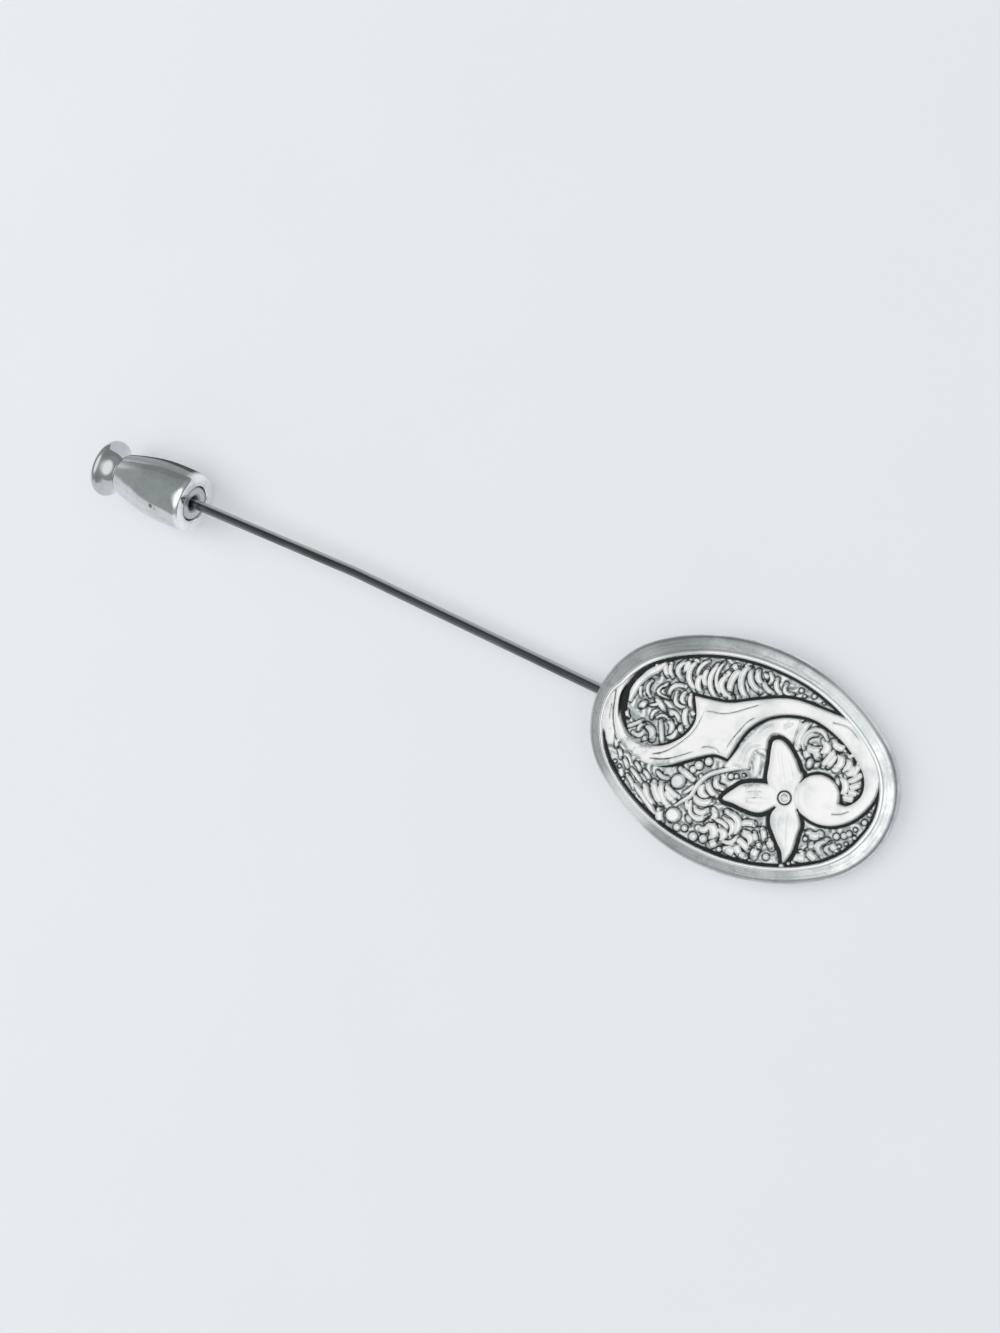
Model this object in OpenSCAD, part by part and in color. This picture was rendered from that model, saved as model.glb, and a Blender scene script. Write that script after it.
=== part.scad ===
// Stick pin with an oval cast head, a round wire and a pull-off barrel clutch.
// Millimetres, +Z up. The pin lies on z = 0 with its clutch towards -X and its head towards +X.
// It rests on the widest part of the clutch and on the lower back edge of the head.

/* [Head] */
// Length of the oval head
head_l = 25.7; // [24:0.1:28]
// Radius of the arcs at the two ends of the oval, which also sets its width
end_r = 7.225; // [7:0.025:7.5]
// Thickness of the head from its back to the crest of the rim
head_t = 1.7; // [1.5:0.05:2.4]
// Width of the sloping part of the rim
bevel_w = 1.5; // [1.2:0.05:1.7]
// Width of the narrow flat crest inside the slope
crest_w = 0.4; // [0.3:0.05:0.6]
// Depth of the sunk floor below the crest
floor_d = 0.55; // [0.4:0.05:0.8]

/* [Ornament] */
// Height of the smooth scroll band above the sunk floor
band_h = 0.44; // [0.3:0.02:0.5]
// Height of the petals above the sunk floor
petal_h = 0.42; // [0.3:0.02:0.5]
// Radius of the polished boss in the eye of the scroll
boss_r = 1.72; // [1.5:0.02:1.9]
// Height of the boss above the sunk floor
boss_h = 0.5; // [0.45:0.02:0.6]
// Height of the small ridges that fill the sunk floor
ridge_h = 0.26; // [0.1:0.02:0.35]

/* [Wire] */
// Diameter of the wire
wire_d = 0.9; // [0.8:0.05:1]
// Distance along the wire from the middle of the head to the point
wire_l = 65.2; // [64:0.1:66]
// Angle between the wire and the back of the head
wire_angle = 3.5; // [3:0.1:5]
// Sideways bend in the middle of the wire
bend_angle = 2.2; // [0.5:0.1:4]
// Distance from the middle of the head to the bend
bend_at = 38; // [30:0.5:44]
// Length of the gently tapered end that the clutch hides, with the point
taper_l = 8.8; // [8:0.1:8.9]
// Length of the sharp point itself
point_l = 3.4; // [2:0.1:4]

/* [Clutch] */
// Distance along the wire from the middle of the head to the clutch's front face
clutch_at = 56.5; // [55.5:0.1:57]
// Radius of the disc in the front of the clutch
insert_r = 1.6; // [1.5:0.05:1.7]
// Length of that disc and its sleeve
insert_l = 2.8; // [2.4:0.1:2.9]
// Radius of the knob's stem inside the barrel
stem_r = 1.3; // [1.2:0.05:1.4]
// Gap around a sliding wire or stem
running = 0.05; // [0.03:0.01:0.08]

/* [Hidden] */
$fn = 64;
wire_r = wire_d / 2;
half_l = head_l / 2;
// The oval is four tangent arcs: two ends round (+-end_c, 0), two sides round (0, -+side_c).
// Lines through their centres have the slope 4 in 3, and the arcs meet on them.
end_c = half_l - end_r;
side_c = end_c * 4 / 3;
side_r = end_r + end_c * 5 / 3;
head_w = 2 * (side_r - side_c);
join_a = atan2(4, 3);
edge_chamfer = 0.25;
// Shoulder of the rim from its side wall to the slope: distance in from the edge, height
SHOULDER = [[0, -0.72], [0.07, -0.48], [0.22, -0.35], [0.43, -0.27]];
crest_ease = 0.05;
rim_root = 1;
crest_in = bevel_w + crest_w;
floor_z = -floor_d;
// Raised work starts this far below the floor, and the scroll runs this far into the rim
root = 0.1;
scroll_lap = 0.15;
back_z = -head_t;

// How the pin rests: the back edge of the head and the clutch's belly both touch z = 0
sink = 0.1;
wire_end = 0.8;
bend_r = 30;
bend_l = bend_r * bend_angle * PI / 180;
wire_drop = wire_r - sink;
belly_t = 1.4;
belly_r = 2.82;
contact_x = half_l - edge_chamfer;
contact_s = clutch_at + belly_t;
run_l = contact_x + contact_s;
rise = wire_drop + contact_s * tan(wire_angle);
rest_tilt = atan2(rise, run_l) + asin(belly_r / norm([rise, run_l]));
head_z = contact_x * sin(rest_tilt) + head_t * cos(rest_tilt);
clutch_l = 10.25;
// What the slopes of wire and head add to the middle of the overall length
centring = 0.2;
head_x = (clutch_at + clutch_l - half_l) / 2 + centring;

// Barrel outline: distance behind the front face, radius
BARREL = [
    [0.00, 2.30], [0.08, 2.48], [0.25, 2.63], [0.60, 2.75], [1.30, 2.81], [2.20, 2.83],
    [3.20, 2.82], [4.20, 2.76], [5.00, 2.66], [5.80, 2.51], [6.60, 2.34], [7.30, 2.17],
    [7.90, 2.01], [8.20, 1.93], [8.30, 1.86]
];
barrel_l = BARREL[len(BARREL) - 1][0];
// Knob outline: distance behind the front face, radius
KNOB = [
    [8.34, 1.76], [8.55, 1.78], [8.80, 1.83], [9.05, 1.93], [9.30, 2.10], [9.55, 2.34],
    [9.75, 2.56], [9.88, 2.65], [10.00, 2.67], [10.15, 2.64], [10.25, 2.52]
];
// Front of the insert, from its mouth outwards: distance behind the clutch's front face, radius
INSERT_FACE = [[0.45, 0.66], [0.20, 0.76], [0.16, 1.20], [0.12, 1.48], [0.24, insert_r]];
guide_from = 0.75;
stem_from = 4.0;
web_from = 2.9;
web_to = 3.6;
point_room = 9.2;

// Scroll outlines on the head's face: u towards the flower end, v towards the upper side
// Sunk comma, from its inner cusp round the comma's head to the tip of its tail and back
COMMA_HEAD = [
    [-5.25, 2.95], [-4.50, 1.60], [-4.45, 0.55], [-4.95, -0.60], [-6.00, -1.70], [-7.40, -2.18],
    [-8.80, -2.10], [-9.80, -1.25], [-10.35, 0.30], [-10.30, 1.90], [-9.44, 3.45], [-7.70, 5.25],
    [-5.60, 6.38], [-3.10, 7.10], [-0.60, 7.38], [1.63, 7.26], [4.20, 6.86], [6.38, 6.19]
];
COMMA_TAIL = [
    [6.38, 6.19], [4.60, 6.15], [2.50, 6.02], [1.00, 5.55], [-0.90, 4.50], [-2.40, 3.62],
    [-3.70, 3.25], [-5.25, 2.95]
];
// Edge of the meadow: the volute round the boss, the arch, then the scroll's lower side
VOLUTE = [
    [10.72, 2.95], [10.84, 1.50], [10.45, 0.15], [9.75, -0.95], [8.75, -1.72], [7.60, -2.05],
    [6.50, -1.92], [5.55, -1.35], [5.10, -0.30], [5.42, 0.80], [6.30, 1.46], [7.35, 1.45],
    [8.15, 0.92], [8.45, 0.05]
];
ARCH = [
    [8.45, 0.05], [9.10, 0.12], [9.65, 0.75], [9.86, 1.60], [9.45, 2.72], [8.40, 3.65],
    [6.63, 4.61], [4.50, 5.14], [2.71, 4.90], [1.15, 4.10], [0.10, 3.00], [-0.49, 1.73],
    [-0.84, -0.45]
];
SWEEP = [
    [-0.84, -0.45], [-1.95, -0.58], [-3.18, -1.44], [-5.10, -3.00], [-6.60, -3.55],
    [-8.20, -3.32], [-9.66, -2.48], [-10.60, -1.10], [-11.00, 0.40], [-11.00, 1.70]
];
curve_steps = 3;

// Flower: middle, then length and direction of each petal
flower_at = [4.56, -1.28];
PETALS = [[4.85, 119.6], [5.15, 202.8], [4.95, 292.1], [2.60, 23.0]];
// Petal outline: share of the length, half width
PETAL = [
    [0.02, 0.42], [0.12, 0.78], [0.25, 1.24], [0.38, 1.22], [0.55, 1.02], [0.70, 0.86],
    [0.82, 0.66], [0.92, 0.40], [1.00, 0.06]
];
boss_at = [6.80, -0.25];

// Ridges: start u and v, end u and v, number, height of the crescents at start and at end
RIDGES = [
    [-8.90, 3.20, -4.90, 5.30, 6, 1.70, 2.10],
    [-4.10, 5.20, 3.60, 6.55, 13, 2.30, 0.60],
    [-9.30, 0.30, -6.30, -1.00, 5, 1.30, 1.20],
    [-6.70, 2.30, -5.30, 0.40, 3, 1.50, 1.10],
    [-9.60, -3.90, -4.40, -4.40, 7, 1.30, 1.30],
    [-3.30, -2.60, -0.60, -1.60, 4, 1.10, 1.10],
    [-4.20, -5.60, 3.60, -5.90, 9, 1.20, 1.50],
    [5.20, 3.60, 9.10, 1.60, 6, 1.30, 1.10],
    [7.70, -4.60, 10.50, -0.80, 6, 1.10, 0.60]
];

// One point of a smooth curve between rows b and c
function between(a, b, c, d, t) =
    0.5 * (2 * b + (c - a) * t + (2 * a - 5 * b + 4 * c - d) * t * t
    + (3 * b - 3 * c + d - a) * t * t * t);

// All points of a smooth open curve through the rows, without its last one
function smooth(rows) = [
    for (i = [0 : len(rows) - 2], k = [0 : curve_steps - 1])
        between(rows[max(i - 1, 0)], rows[i], rows[i + 1], rows[min(i + 2, len(rows) - 1)],
            k / curve_steps)
];

// The oval, moved inwards by inset
module oval(inset) {
    join_x = end_c + (end_r - inset) * cos(join_a);
    for (side = [-1, 1]) translate([side * end_c, 0]) circle(r = end_r - inset);
    intersection() {
        translate([0, -side_c]) circle(r = side_r - inset, $fn = 180);
        translate([0, side_c]) circle(r = side_r - inset, $fn = 180);
        square([2 * join_x, head_w], center = true);
    }
}

// Section through the rim: x is the radius of the arc that carries it
module rim_section(arc_r) {
    inner_r = arc_r - crest_in;
    polygon(concat(
        [
            [inner_r - rim_root, back_z],
            [arc_r - edge_chamfer, back_z],
            [arc_r, back_z + edge_chamfer]
        ],
        [for (row = SHOULDER) [arc_r - row[0], row[1]]],
        [
            [arc_r - bevel_w, 0],
            [inner_r + crest_ease, 0],
            [inner_r, -crest_ease],
            [inner_r, floor_z],
            [inner_r - rim_root, floor_z]
        ]
    ));
}

// Rim: a full ring round each arc's centre, kept only between the two lines that end its arc
module rim() {
    reach = 3;
    for (side = [-1, 1]) {
        intersection() {
            translate([side * end_c, 0, 0]) rotate_extrude() rim_section(end_r);
            translate([0, 0, back_z - head_t]) linear_extrude(3 * head_t) polygon([
                [side * end_c, 0],
                [side * (end_c + 3 * reach), 4 * reach],
                [side * 2 * half_l, 4 * reach],
                [side * 2 * half_l, -4 * reach],
                [side * (end_c + 3 * reach), -4 * reach]
            ]);
        }
        intersection() {
            translate([0, side * side_c, 0]) rotate_extrude($fn = 180) rim_section(side_r);
            translate([0, 0, back_z - head_t]) linear_extrude(3 * head_t) polygon([
                [0, side * side_c],
                [end_c + 3 * reach, -side * 4 * reach],
                [-end_c - 3 * reach, -side * 4 * reach]
            ]);
        }
    }
}

module floor_plate() {
    translate([0, 0, back_z]) linear_extrude(floor_z - back_z) oval(crest_in + rim_root / 2);
}

// Smooth scroll: what is left of the band's level when comma and meadow are sunk
module scroll() {
    translate([0, 0, floor_z - root]) linear_extrude(band_h + root) difference() {
        oval(crest_in - scroll_lap);
        polygon(concat(smooth(COMMA_HEAD), smooth(COMMA_TAIL)));
        polygon(concat(smooth(VOLUTE), smooth(ARCH), smooth(SWEEP),
            [[-14, 1.7], [-14, -11], [14, -11], [14, 2.95]]));
    }
}

module petal(length, turn) {
    right = [for (row = PETAL) [row[0] * length, row[1]]];
    left = [for (i = [len(PETAL) - 1 : -1 : 0]) [PETAL[i][0] * length, -PETAL[i][1]]];
    translate([flower_at[0], flower_at[1], floor_z - root]) rotate([0, 0, turn])
        linear_extrude(petal_h + root) polygon(concat(right, left));
}

module flower() {
    eye_r = 0.6;
    eye_h = petal_h + 0.04;
    for (row = PETALS) petal(row[0], row[1]);
    translate([flower_at[0], flower_at[1], floor_z]) cylinder(r = eye_r, h = eye_h);
}

// Low polished dome in the eye of the scroll
module boss() {
    dome_r = 9;
    translate([boss_at[0], boss_at[1], floor_z - root]) intersection() {
        cylinder(r = boss_r, h = 2 * boss_h);
        translate([0, 0, boss_h + root - dome_r]) sphere(r = dome_r, $fn = 96);
    }
}

// One crescent ridge: a disc with a shifted disc cut away
module crescent(size, turn) {
    hollow = 0.2;
    rotate([0, 0, turn]) linear_extrude(ridge_h + root) difference() {
        circle(r = size / 2, $fn = 32);
        translate([hollow * size, 0]) circle(r = size / 2, $fn = 32);
    }
}

module ridges() {
    for (row = RIDGES) {
        turn = atan2(row[3] - row[1], row[2] - row[0]);
        for (i = [0 : row[4] - 1]) {
            t = i / (row[4] - 1);
            translate([row[0] + (row[2] - row[0]) * t, row[1] + (row[3] - row[1]) * t,
                floor_z - root])
                crescent(row[5] + (row[6] - row[5]) * t, turn);
        }
    }
}

// Solder mound on the back, round the end of the wire
module solder() {
    mound_r = 2.3;
    mound_h = 0.72;
    mound_dome = (mound_r * mound_r + mound_h * mound_h) / (2 * mound_h);
    translate([-wire_end, 0, back_z]) intersection() {
        translate([0, 0, mound_dome - mound_h]) sphere(r = mound_dome, $fn = 96);
        translate([0, 0, -mound_h]) cylinder(r = 2 * mound_r, h = mound_h + root);
    }
}

// Puts children in the head's own frame: face up, crest at z = 0
module as_head() {
    translate([head_x, 0, head_z]) rotate([0, rest_tilt, 0]) children();
}

// Puts children on the wire: z runs along it from under the middle of the head
module on_wire() {
    as_head() translate([0, 0, back_z - wire_drop]) rotate([0, -90 - wire_angle, 0]) children();
}

// Puts children on the wire past its bend: z still counts the wire from the middle of the head
module past_bend() {
    on_wire() translate([0, -bend_r, bend_at]) rotate([bend_angle, 0, 0])
        translate([0, bend_r, -bend_at - bend_l]) children();
}

// Two straight stretches with a short bend between them, the gentle taper and the sharp point
module wire() {
    neck_r = 0.85 * wire_r;
    tip_r = 0.04;
    on_wire() {
        translate([0, 0, -wire_end]) cylinder(r = wire_r, h = bend_at + wire_end);
        translate([0, -bend_r, bend_at]) rotate([0, 90, 0]) rotate([0, 0, 90])
            rotate_extrude(angle = bend_angle) translate([bend_r, 0]) circle(r = wire_r);
    }
    past_bend() {
        translate([0, 0, bend_at + bend_l])
            cylinder(r = wire_r, h = wire_l - taper_l - bend_at - bend_l);
        translate([0, 0, wire_l - taper_l])
            cylinder(r1 = wire_r, r2 = neck_r, h = taper_l - point_l);
        translate([0, 0, wire_l - point_l]) cylinder(r1 = neck_r, r2 = tip_r, h = point_l);
    }
}

module head_and_wire() {
    color("silver") {
        as_head() {
            rim();
            floor_plate();
            scroll();
            flower();
            boss();
            ridges();
            solder();
        }
        wire();
    }
}

// Turned shell with a seat for the insert, a thin web and a bore for the knob's stem
module clutch_barrel() {
    seat_r = insert_r + running;
    color("gainsboro") past_bend() translate([0, 0, clutch_at]) rotate_extrude() polygon(concat(
        BARREL,
        [
            [barrel_l, stem_r + running],
            [web_to, stem_r + running],
            [web_to, wire_r + 2 * running],
            [web_from, wire_r + 2 * running],
            [web_from, seat_r],
            [0, seat_r]
        ]
    ) * [[0, 1], [1, 0]]);
}

// Disc in the front of the shell with the mouth and the guide bore for the wire
module clutch_insert() {
    color("silver") past_bend() translate([0, 0, clutch_at]) rotate_extrude() polygon(concat(
        INSERT_FACE,
        [
            [insert_l, insert_r],
            [insert_l, wire_r + running],
            [guide_from, wire_r + running]
        ]
    ) * [[0, 1], [1, 0]]);
}

// Flared pull end, its stem and the blind room for the wire's point
module clutch_knob() {
    room_tip = 0.3;
    color("gainsboro") past_bend() translate([0, 0, clutch_at]) rotate_extrude() polygon(concat(
        [
            [stem_from, wire_r + 2 * running],
            [stem_from, stem_r],
            [KNOB[0][0], stem_r]
        ],
        KNOB,
        [
            [clutch_l, 0],
            [point_room + room_tip, 0],
            [point_room, wire_r + 2 * running]
        ]
    ) * [[0, 1], [1, 0]]);
}

head_and_wire();
clutch_barrel();
clutch_insert();
clutch_knob();
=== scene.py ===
# Stick pin: oval scroll head in oxidised silver, satin wire and a bright pull-off clutch
import math
import bpy
import bmesh
import numpy as np
from mathutils import Matrix, Vector


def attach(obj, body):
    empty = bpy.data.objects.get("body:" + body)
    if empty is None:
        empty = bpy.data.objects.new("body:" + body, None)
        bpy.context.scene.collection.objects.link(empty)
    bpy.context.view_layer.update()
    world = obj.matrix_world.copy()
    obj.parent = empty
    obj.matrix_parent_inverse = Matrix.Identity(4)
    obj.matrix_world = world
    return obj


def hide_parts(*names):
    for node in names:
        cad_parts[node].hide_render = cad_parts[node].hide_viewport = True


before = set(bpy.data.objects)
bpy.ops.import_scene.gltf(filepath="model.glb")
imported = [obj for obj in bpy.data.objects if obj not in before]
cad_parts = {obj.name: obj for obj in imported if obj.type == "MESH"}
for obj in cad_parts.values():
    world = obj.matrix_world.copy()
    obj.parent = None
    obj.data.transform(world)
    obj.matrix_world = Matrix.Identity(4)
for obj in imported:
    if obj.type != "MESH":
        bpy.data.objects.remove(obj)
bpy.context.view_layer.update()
scene = bpy.context.scene
scene.view_settings.view_transform = "Standard"
print("frame loaded:", sorted(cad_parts))

millimetre = 0.001      # pieces are modelled in millimetres and brought to metres when they are placed
weldWithin = 2e-7       # vertices closer than this become one, metres

head = {
    "middle": (27.15, 0.0, 2.889),      # middle of the plane of the rim's crest
    "tilt": 5.448,                      # how far the flower end leans down
    "endCentre": 5.625, "endRadius": 7.225,
    "sideCentre": 7.5, "sideRadius": 16.6,
    "join": (3, 4),                     # direction from an end's centre to where its arc meets the side
    # how far in the lip's inner edge lies, by the direction that the edge faces there
    "lip": [(0, 1.40), (60, 1.40), (75, 1.46), (90, 1.58), (120, 1.65), (150, 1.72), (165, 1.66),
            (174, 1.32), (182, 1.22), (195, 1.18), (210, 1.17), (225, 1.13), (240, 1.07), (255, 1.17),
            (270, 1.30), (300, 1.34), (315, 1.44), (345, 1.48), (360, 1.40)],
    "floor": -0.55, "back": -1.70,
    "band": 0.44, "petal": 0.42, "boss": 0.50, "ridge": 0.26,       # heights over the sunk floor
}
wire = {
    "radius": 0.45, "sink": 0.1, "lean": 3.5,
    "bendAt": 38.0, "bendRadius": 30.0, "bend": 2.2,
    "start": -0.8, "length": 65.2, "taper": 8.8, "point": 3.4, "neck": 0.85, "tip": 0.04,
}
clutch = {"front": 56.5}

headMatrix = Matrix.Translation(head["middle"]) @ Matrix.Rotation(math.radians(head["tilt"]), 4, "Y")
wireMatrix = (headMatrix @ Matrix.Translation((0, 0, head["back"] - wire["radius"] + wire["sink"]))
              @ Matrix.Rotation(math.radians(-90 - wire["lean"]), 4, "Y"))
bendLength = wire["bendRadius"] * math.radians(wire["bend"])
pastBend = (wireMatrix @ Matrix.Translation((0, -wire["bendRadius"], wire["bendAt"]))
            @ Matrix.Rotation(math.radians(wire["bend"]), 4, "X")
            @ Matrix.Translation((0, wire["bendRadius"], -wire["bendAt"] - bendLength)))
clutchMatrix = pastBend @ Matrix.Translation((0, 0, clutch["front"]))


class Sock:
    # one socket of a node tree, so that sums on sockets are written as plain Python
    def __init__(self, graph, socket):
        self.graph, self.socket = graph, socket

    def __add__(self, other):
        return self.graph.maths("ADD", self, other)

    def __radd__(self, other):
        return self.graph.maths("ADD", other, self)

    def __sub__(self, other):
        return self.graph.maths("SUBTRACT", self, other)

    def __rsub__(self, other):
        return self.graph.maths("SUBTRACT", other, self)

    def __mul__(self, other):
        return self.graph.maths("MULTIPLY", self, other)

    def __truediv__(self, other):
        return self.graph.maths("DIVIDE", self, other)

    def __pow__(self, other):
        return self.graph.maths("POWER", self, other)


class Graph:
    # a node tree that is filled one node at a time
    def __init__(self, tree):
        self.tree = tree

    def add(self, kind, settings=None, sockets=None, out=0):
        node = self.tree.nodes.new(kind)
        for key, value in (settings or {}).items():
            setattr(node, key, value)
        for key, value in (sockets or {}).items():
            if isinstance(value, Sock):
                self.tree.links.new(value.socket, node.inputs[key])
            else:
                node.inputs[key].default_value = value
        if out is None:
            return [Sock(self, socket) for socket in node.outputs]
        return Sock(self, node.outputs[out]) if node.outputs else node

    def maths(self, operation, *values):
        return self.add("ShaderNodeMath", {"operation": operation}, dict(enumerate(values)))

    def vector(self, operation, *values, out=0):
        return self.add("ShaderNodeVectorMath", {"operation": operation}, dict(enumerate(values)), out)

    def dot(self, first, second):
        return self.vector("DOT_PRODUCT", first, second, out=1)

    def distance(self, first, second):
        return self.vector("DISTANCE", first, second, out=1)

    def join(self, x, y, z):
        return self.add("ShaderNodeCombineXYZ", None, {"X": x, "Y": y, "Z": z})

    def split(self, vector):
        return self.add("ShaderNodeSeparateXYZ", None, {0: vector}, None)

    def step(self, value, low, high):
        return self.add("ShaderNodeMapRange", {"interpolation_type": "SMOOTHSTEP"},
                        {"Value": value, "From Min": low, "From Max": high})

    def band(self, value, low, full, falls, gone):
        # 0 below low, 1 from full until it falls, and 0 again when gone
        return self.step(value, low, full) * (1 - self.step(value, falls, gone))

    def blend(self, factor, first, second):
        return self.add("ShaderNodeMix", {"data_type": "RGBA"}, {0: factor, 6: first, 7: second}, 2)

    def noise(self, where, scale, detail=3.0, roughness=0.55):
        return self.add("ShaderNodeTexNoise", None,
                        {"Vector": where, "Scale": scale, "Detail": detail, "Roughness": roughness})

    def mapped(self, where, turn, scale):
        return self.add("ShaderNodeMapping", None, {"Vector": where, "Rotation": turn, "Scale": scale})

    def bump(self, strength, distance, height):
        return self.add("ShaderNodeBump", None,
                        {"Strength": strength, "Distance": distance, "Height": height})

    def near(self, where, middle, reach):
        # 1 about a place given in millimetres, falling to 0 at its reach
        away = self.distance(where, tuple(millimetre * middle)) / millimetre
        return 1 - self.step(away, reach * 0.4, reach)

    def painted(self, name, out=2):
        # what is kept on the mesh under this name, in a material
        return self.add("ShaderNodeAttribute", {"attribute_name": name}, None, out)

    def named(self, name, kind="FLOAT"):
        # the same in a geometry tree
        return self.add("GeometryNodeInputNamedAttribute", {"data_type": kind}, {"Name": name})

    def keepNamed(self, geometry, name, vector):
        return self.add("GeometryNodeStoreNamedAttribute", {"data_type": "FLOAT_VECTOR", "domain": "POINT"},
                        {"Geometry": geometry, "Name": name, "Value": vector})

    def move(self, geometry, place):
        return self.add("GeometryNodeSetPosition", None, {"Geometry": geometry, "Position": place})


def grey(value, warm=0.0, green=0.0):
    return (value * (1 + warm - green), value, value * (1 - warm), 1.0)


def smoothRows(rows, steps=5, closed=False):
    # points of a smooth curve through the rows
    rows = np.array(rows, float)
    count = len(rows)
    out = []
    for i in range(count if closed else count - 1):
        pick = [(i + k) % count if closed else min(max(i + k, 0), count - 1) for k in (-1, 0, 1, 2)]
        a, b, c, d = rows[pick]
        for t in np.arange(steps) / steps:
            out.append(0.5 * (2 * b + (c - a) * t + (2 * a - 5 * b + 4 * c - d) * t * t
                              + (3 * b - 3 * c + d - a) * t ** 3))
    if not closed:
        out.append(rows[-1])
    return np.array(out)


def distanceTo(points, line):
    # distance from each point to a line of points, and how far along it (0 to 1) the nearest place is
    best = np.full(len(points), np.inf)
    along = np.zeros(len(points))
    lengths = np.hypot(*np.diff(line, axis=0).T)
    total = lengths.sum()
    gone = 0.0
    for a, b, length in zip(line[:-1], line[1:], lengths):
        if length < 1e-9:       # the same point twice
            continue
        t = np.clip(((points - a) @ (b - a)) / length ** 2, 0, 1)
        away = np.hypot(*(points - a - t[:, None] * (b - a)).T)
        near = away < best
        best = np.where(near, away, best)
        along = np.where(near, (gone + t * length) / total, along)
        gone += length
    return best, along


def insideOf(points, outline):
    x, y = points.T
    odd = np.zeros(len(points), bool)
    for (ax, ay), (bx, by) in zip(outline, np.roll(outline, -1, axis=0)):
        if ay != by:
            odd ^= ((ay > y) != (by > y)) & (x < (bx - ax) * (y - ay) / (by - ay) + ax)
    return odd


def depthIn(points, outline):
    # distance to an outline, positive inside it
    away, _ = distanceTo(points, np.vstack([outline, outline[:1]]))
    return np.where(insideOf(points, outline), away, -away)


def distanceFrom(points, middle):
    return np.hypot(*(points - middle).T)


def ramp(value):
    value = np.clip(value, 0, 1)
    return value * value * (3 - 2 * value)


def rising(depth, width):
    # 0 to 1 over an edge of this width, half way up at depth 0
    return ramp(0.5 + depth / width)


def fading(away, reach, core):
    # 1 near by, falling to 0 at the reach, steeper for a larger core
    return ramp(core - core * away / reach)


def inEndArc(u, v):
    # whether the nearest part of the oval's edge is one of its end arcs
    alongU, alongV = head["join"]
    return (np.abs(u) - head["endCentre"]) * alongV > np.abs(v) * alongU


def ovalInset(points):
    # how far inside the head's edge each point lies
    u, v = np.abs(points).T
    fromEnd = head["endRadius"] - np.hypot(u - head["endCentre"], v)
    fromSide = head["sideRadius"] - np.hypot(u, v + head["sideCentre"])
    return np.where(inEndArc(u, v), fromEnd, fromSide)


def facing(points):
    # direction in degrees that the nearest part of the oval's edge faces
    u, v = points.T
    atEnd = np.arctan2(v, u - np.sign(u) * head["endCentre"])
    atSide = np.arctan2(v + np.sign(v) * head["sideCentre"], u)
    return np.degrees(np.where(inEndArc(u, v), atEnd, atSide)) % 360


def lipInset(points):
    return np.interp(facing(points), *np.array(head["lip"]).T)


def ovalPath(spacing):
    # points round the oval, anticlockwise from the flower end
    end, side = head["endCentre"], head["sideCentre"]
    join = math.atan2(head["join"][1], head["join"][0])
    arcs = [((end, 0), head["endRadius"], -join, join),
            ((0, -side), head["sideRadius"], join, math.pi - join),
            ((-end, 0), head["endRadius"], math.pi - join, math.pi + join),
            ((0, side), head["sideRadius"], math.pi + join, 2 * math.pi - join)]
    path = []
    for (x, y), radius, start, stop in arcs:
        count = int((stop - start) * radius / spacing)
        angles = [start + (stop - start) * k / count for k in range(count)]
        path += [(x + radius * math.cos(angle), y + radius * math.sin(angle)) for angle in angles]
    return np.array(path)


def addObject(name, data):
    item = bpy.data.objects.new(name, data)
    scene.collection.objects.link(item)
    return item


def newMesh(name, verts, edges=(), faces=()):
    mesh = bpy.data.meshes.new(name)
    mesh.from_pydata(verts, edges, faces)
    return mesh


def setOnPoints(mesh, name, values, kind="FLOAT"):
    key = "vector" if kind == "FLOAT_VECTOR" else "value"
    mesh.attributes.new(name, kind, "POINT").data.foreach_set(key, np.ravel(values))


def keepMesh(name, mesh, matrix, body, material, node):
    # places a finished mesh, tidies its normals and lets it ride on its body
    mesh.transform(Matrix.Scale(millimetre, 4) @ matrix)
    shell = bmesh.new()
    shell.from_mesh(mesh)
    bmesh.ops.remove_doubles(shell, verts=shell.verts, dist=weldWithin)
    bmesh.ops.recalc_face_normals(shell, faces=shell.faces)
    shell.to_mesh(mesh)
    shell.free()
    mesh.shade_smooth()
    mesh.materials.clear()
    mesh.materials.append(material)
    piece = addObject(name, mesh)
    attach(piece, body)
    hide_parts(node)
    print("made", name, len(mesh.polygons), "faces")
    return piece


def keepOnPin(name, mesh, material, matrix=headMatrix):
    return keepMesh(name, mesh, matrix, "pin", material, "head_and_wire")


def newTree(name, inputs):
    tree = bpy.data.node_groups.new(name, "GeometryNodeTree")
    tree.interface.new_socket("Geometry", in_out="INPUT", socket_type="NodeSocketGeometry")
    tree.interface.new_socket("Geometry", in_out="OUTPUT", socket_type="NodeSocketGeometry")
    for label, kind in [*inputs, ("Material", "Material")]:
        tree.interface.new_socket(label, in_out="INPUT", socket_type="NodeSocket" + kind)
    graph = Graph(tree)
    return graph, {sock.socket.name: sock for sock in graph.add("NodeGroupInput", out=None)}


def closeTree(graph, geometry, entry):
    solid = graph.add("GeometryNodeRealizeInstances", None, {"Geometry": geometry})
    dressed = graph.add("GeometryNodeSetMaterial", None, {"Geometry": solid, "Material": entry["Material"]})
    graph.add("NodeGroupOutput", None, {0: dressed})
    return graph.tree


def grown(tree, data, values):
    # runs a node tree on its host and hands back a plain mesh
    host = addObject(tree.name + " host", data)
    modifier = host.modifiers.new(tree.name, "NODES")
    modifier.node_group = tree
    for socket in tree.interface.items_tree:
        if socket.in_out == "INPUT" and socket.name in values:
            modifier[socket.identifier] = values[socket.name]
    bpy.context.view_layer.update()
    seen = host.evaluated_get(bpy.context.evaluated_depsgraph_get())
    mesh = bpy.data.meshes.new_from_object(seen)
    bpy.data.objects.remove(host)
    return mesh


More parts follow.
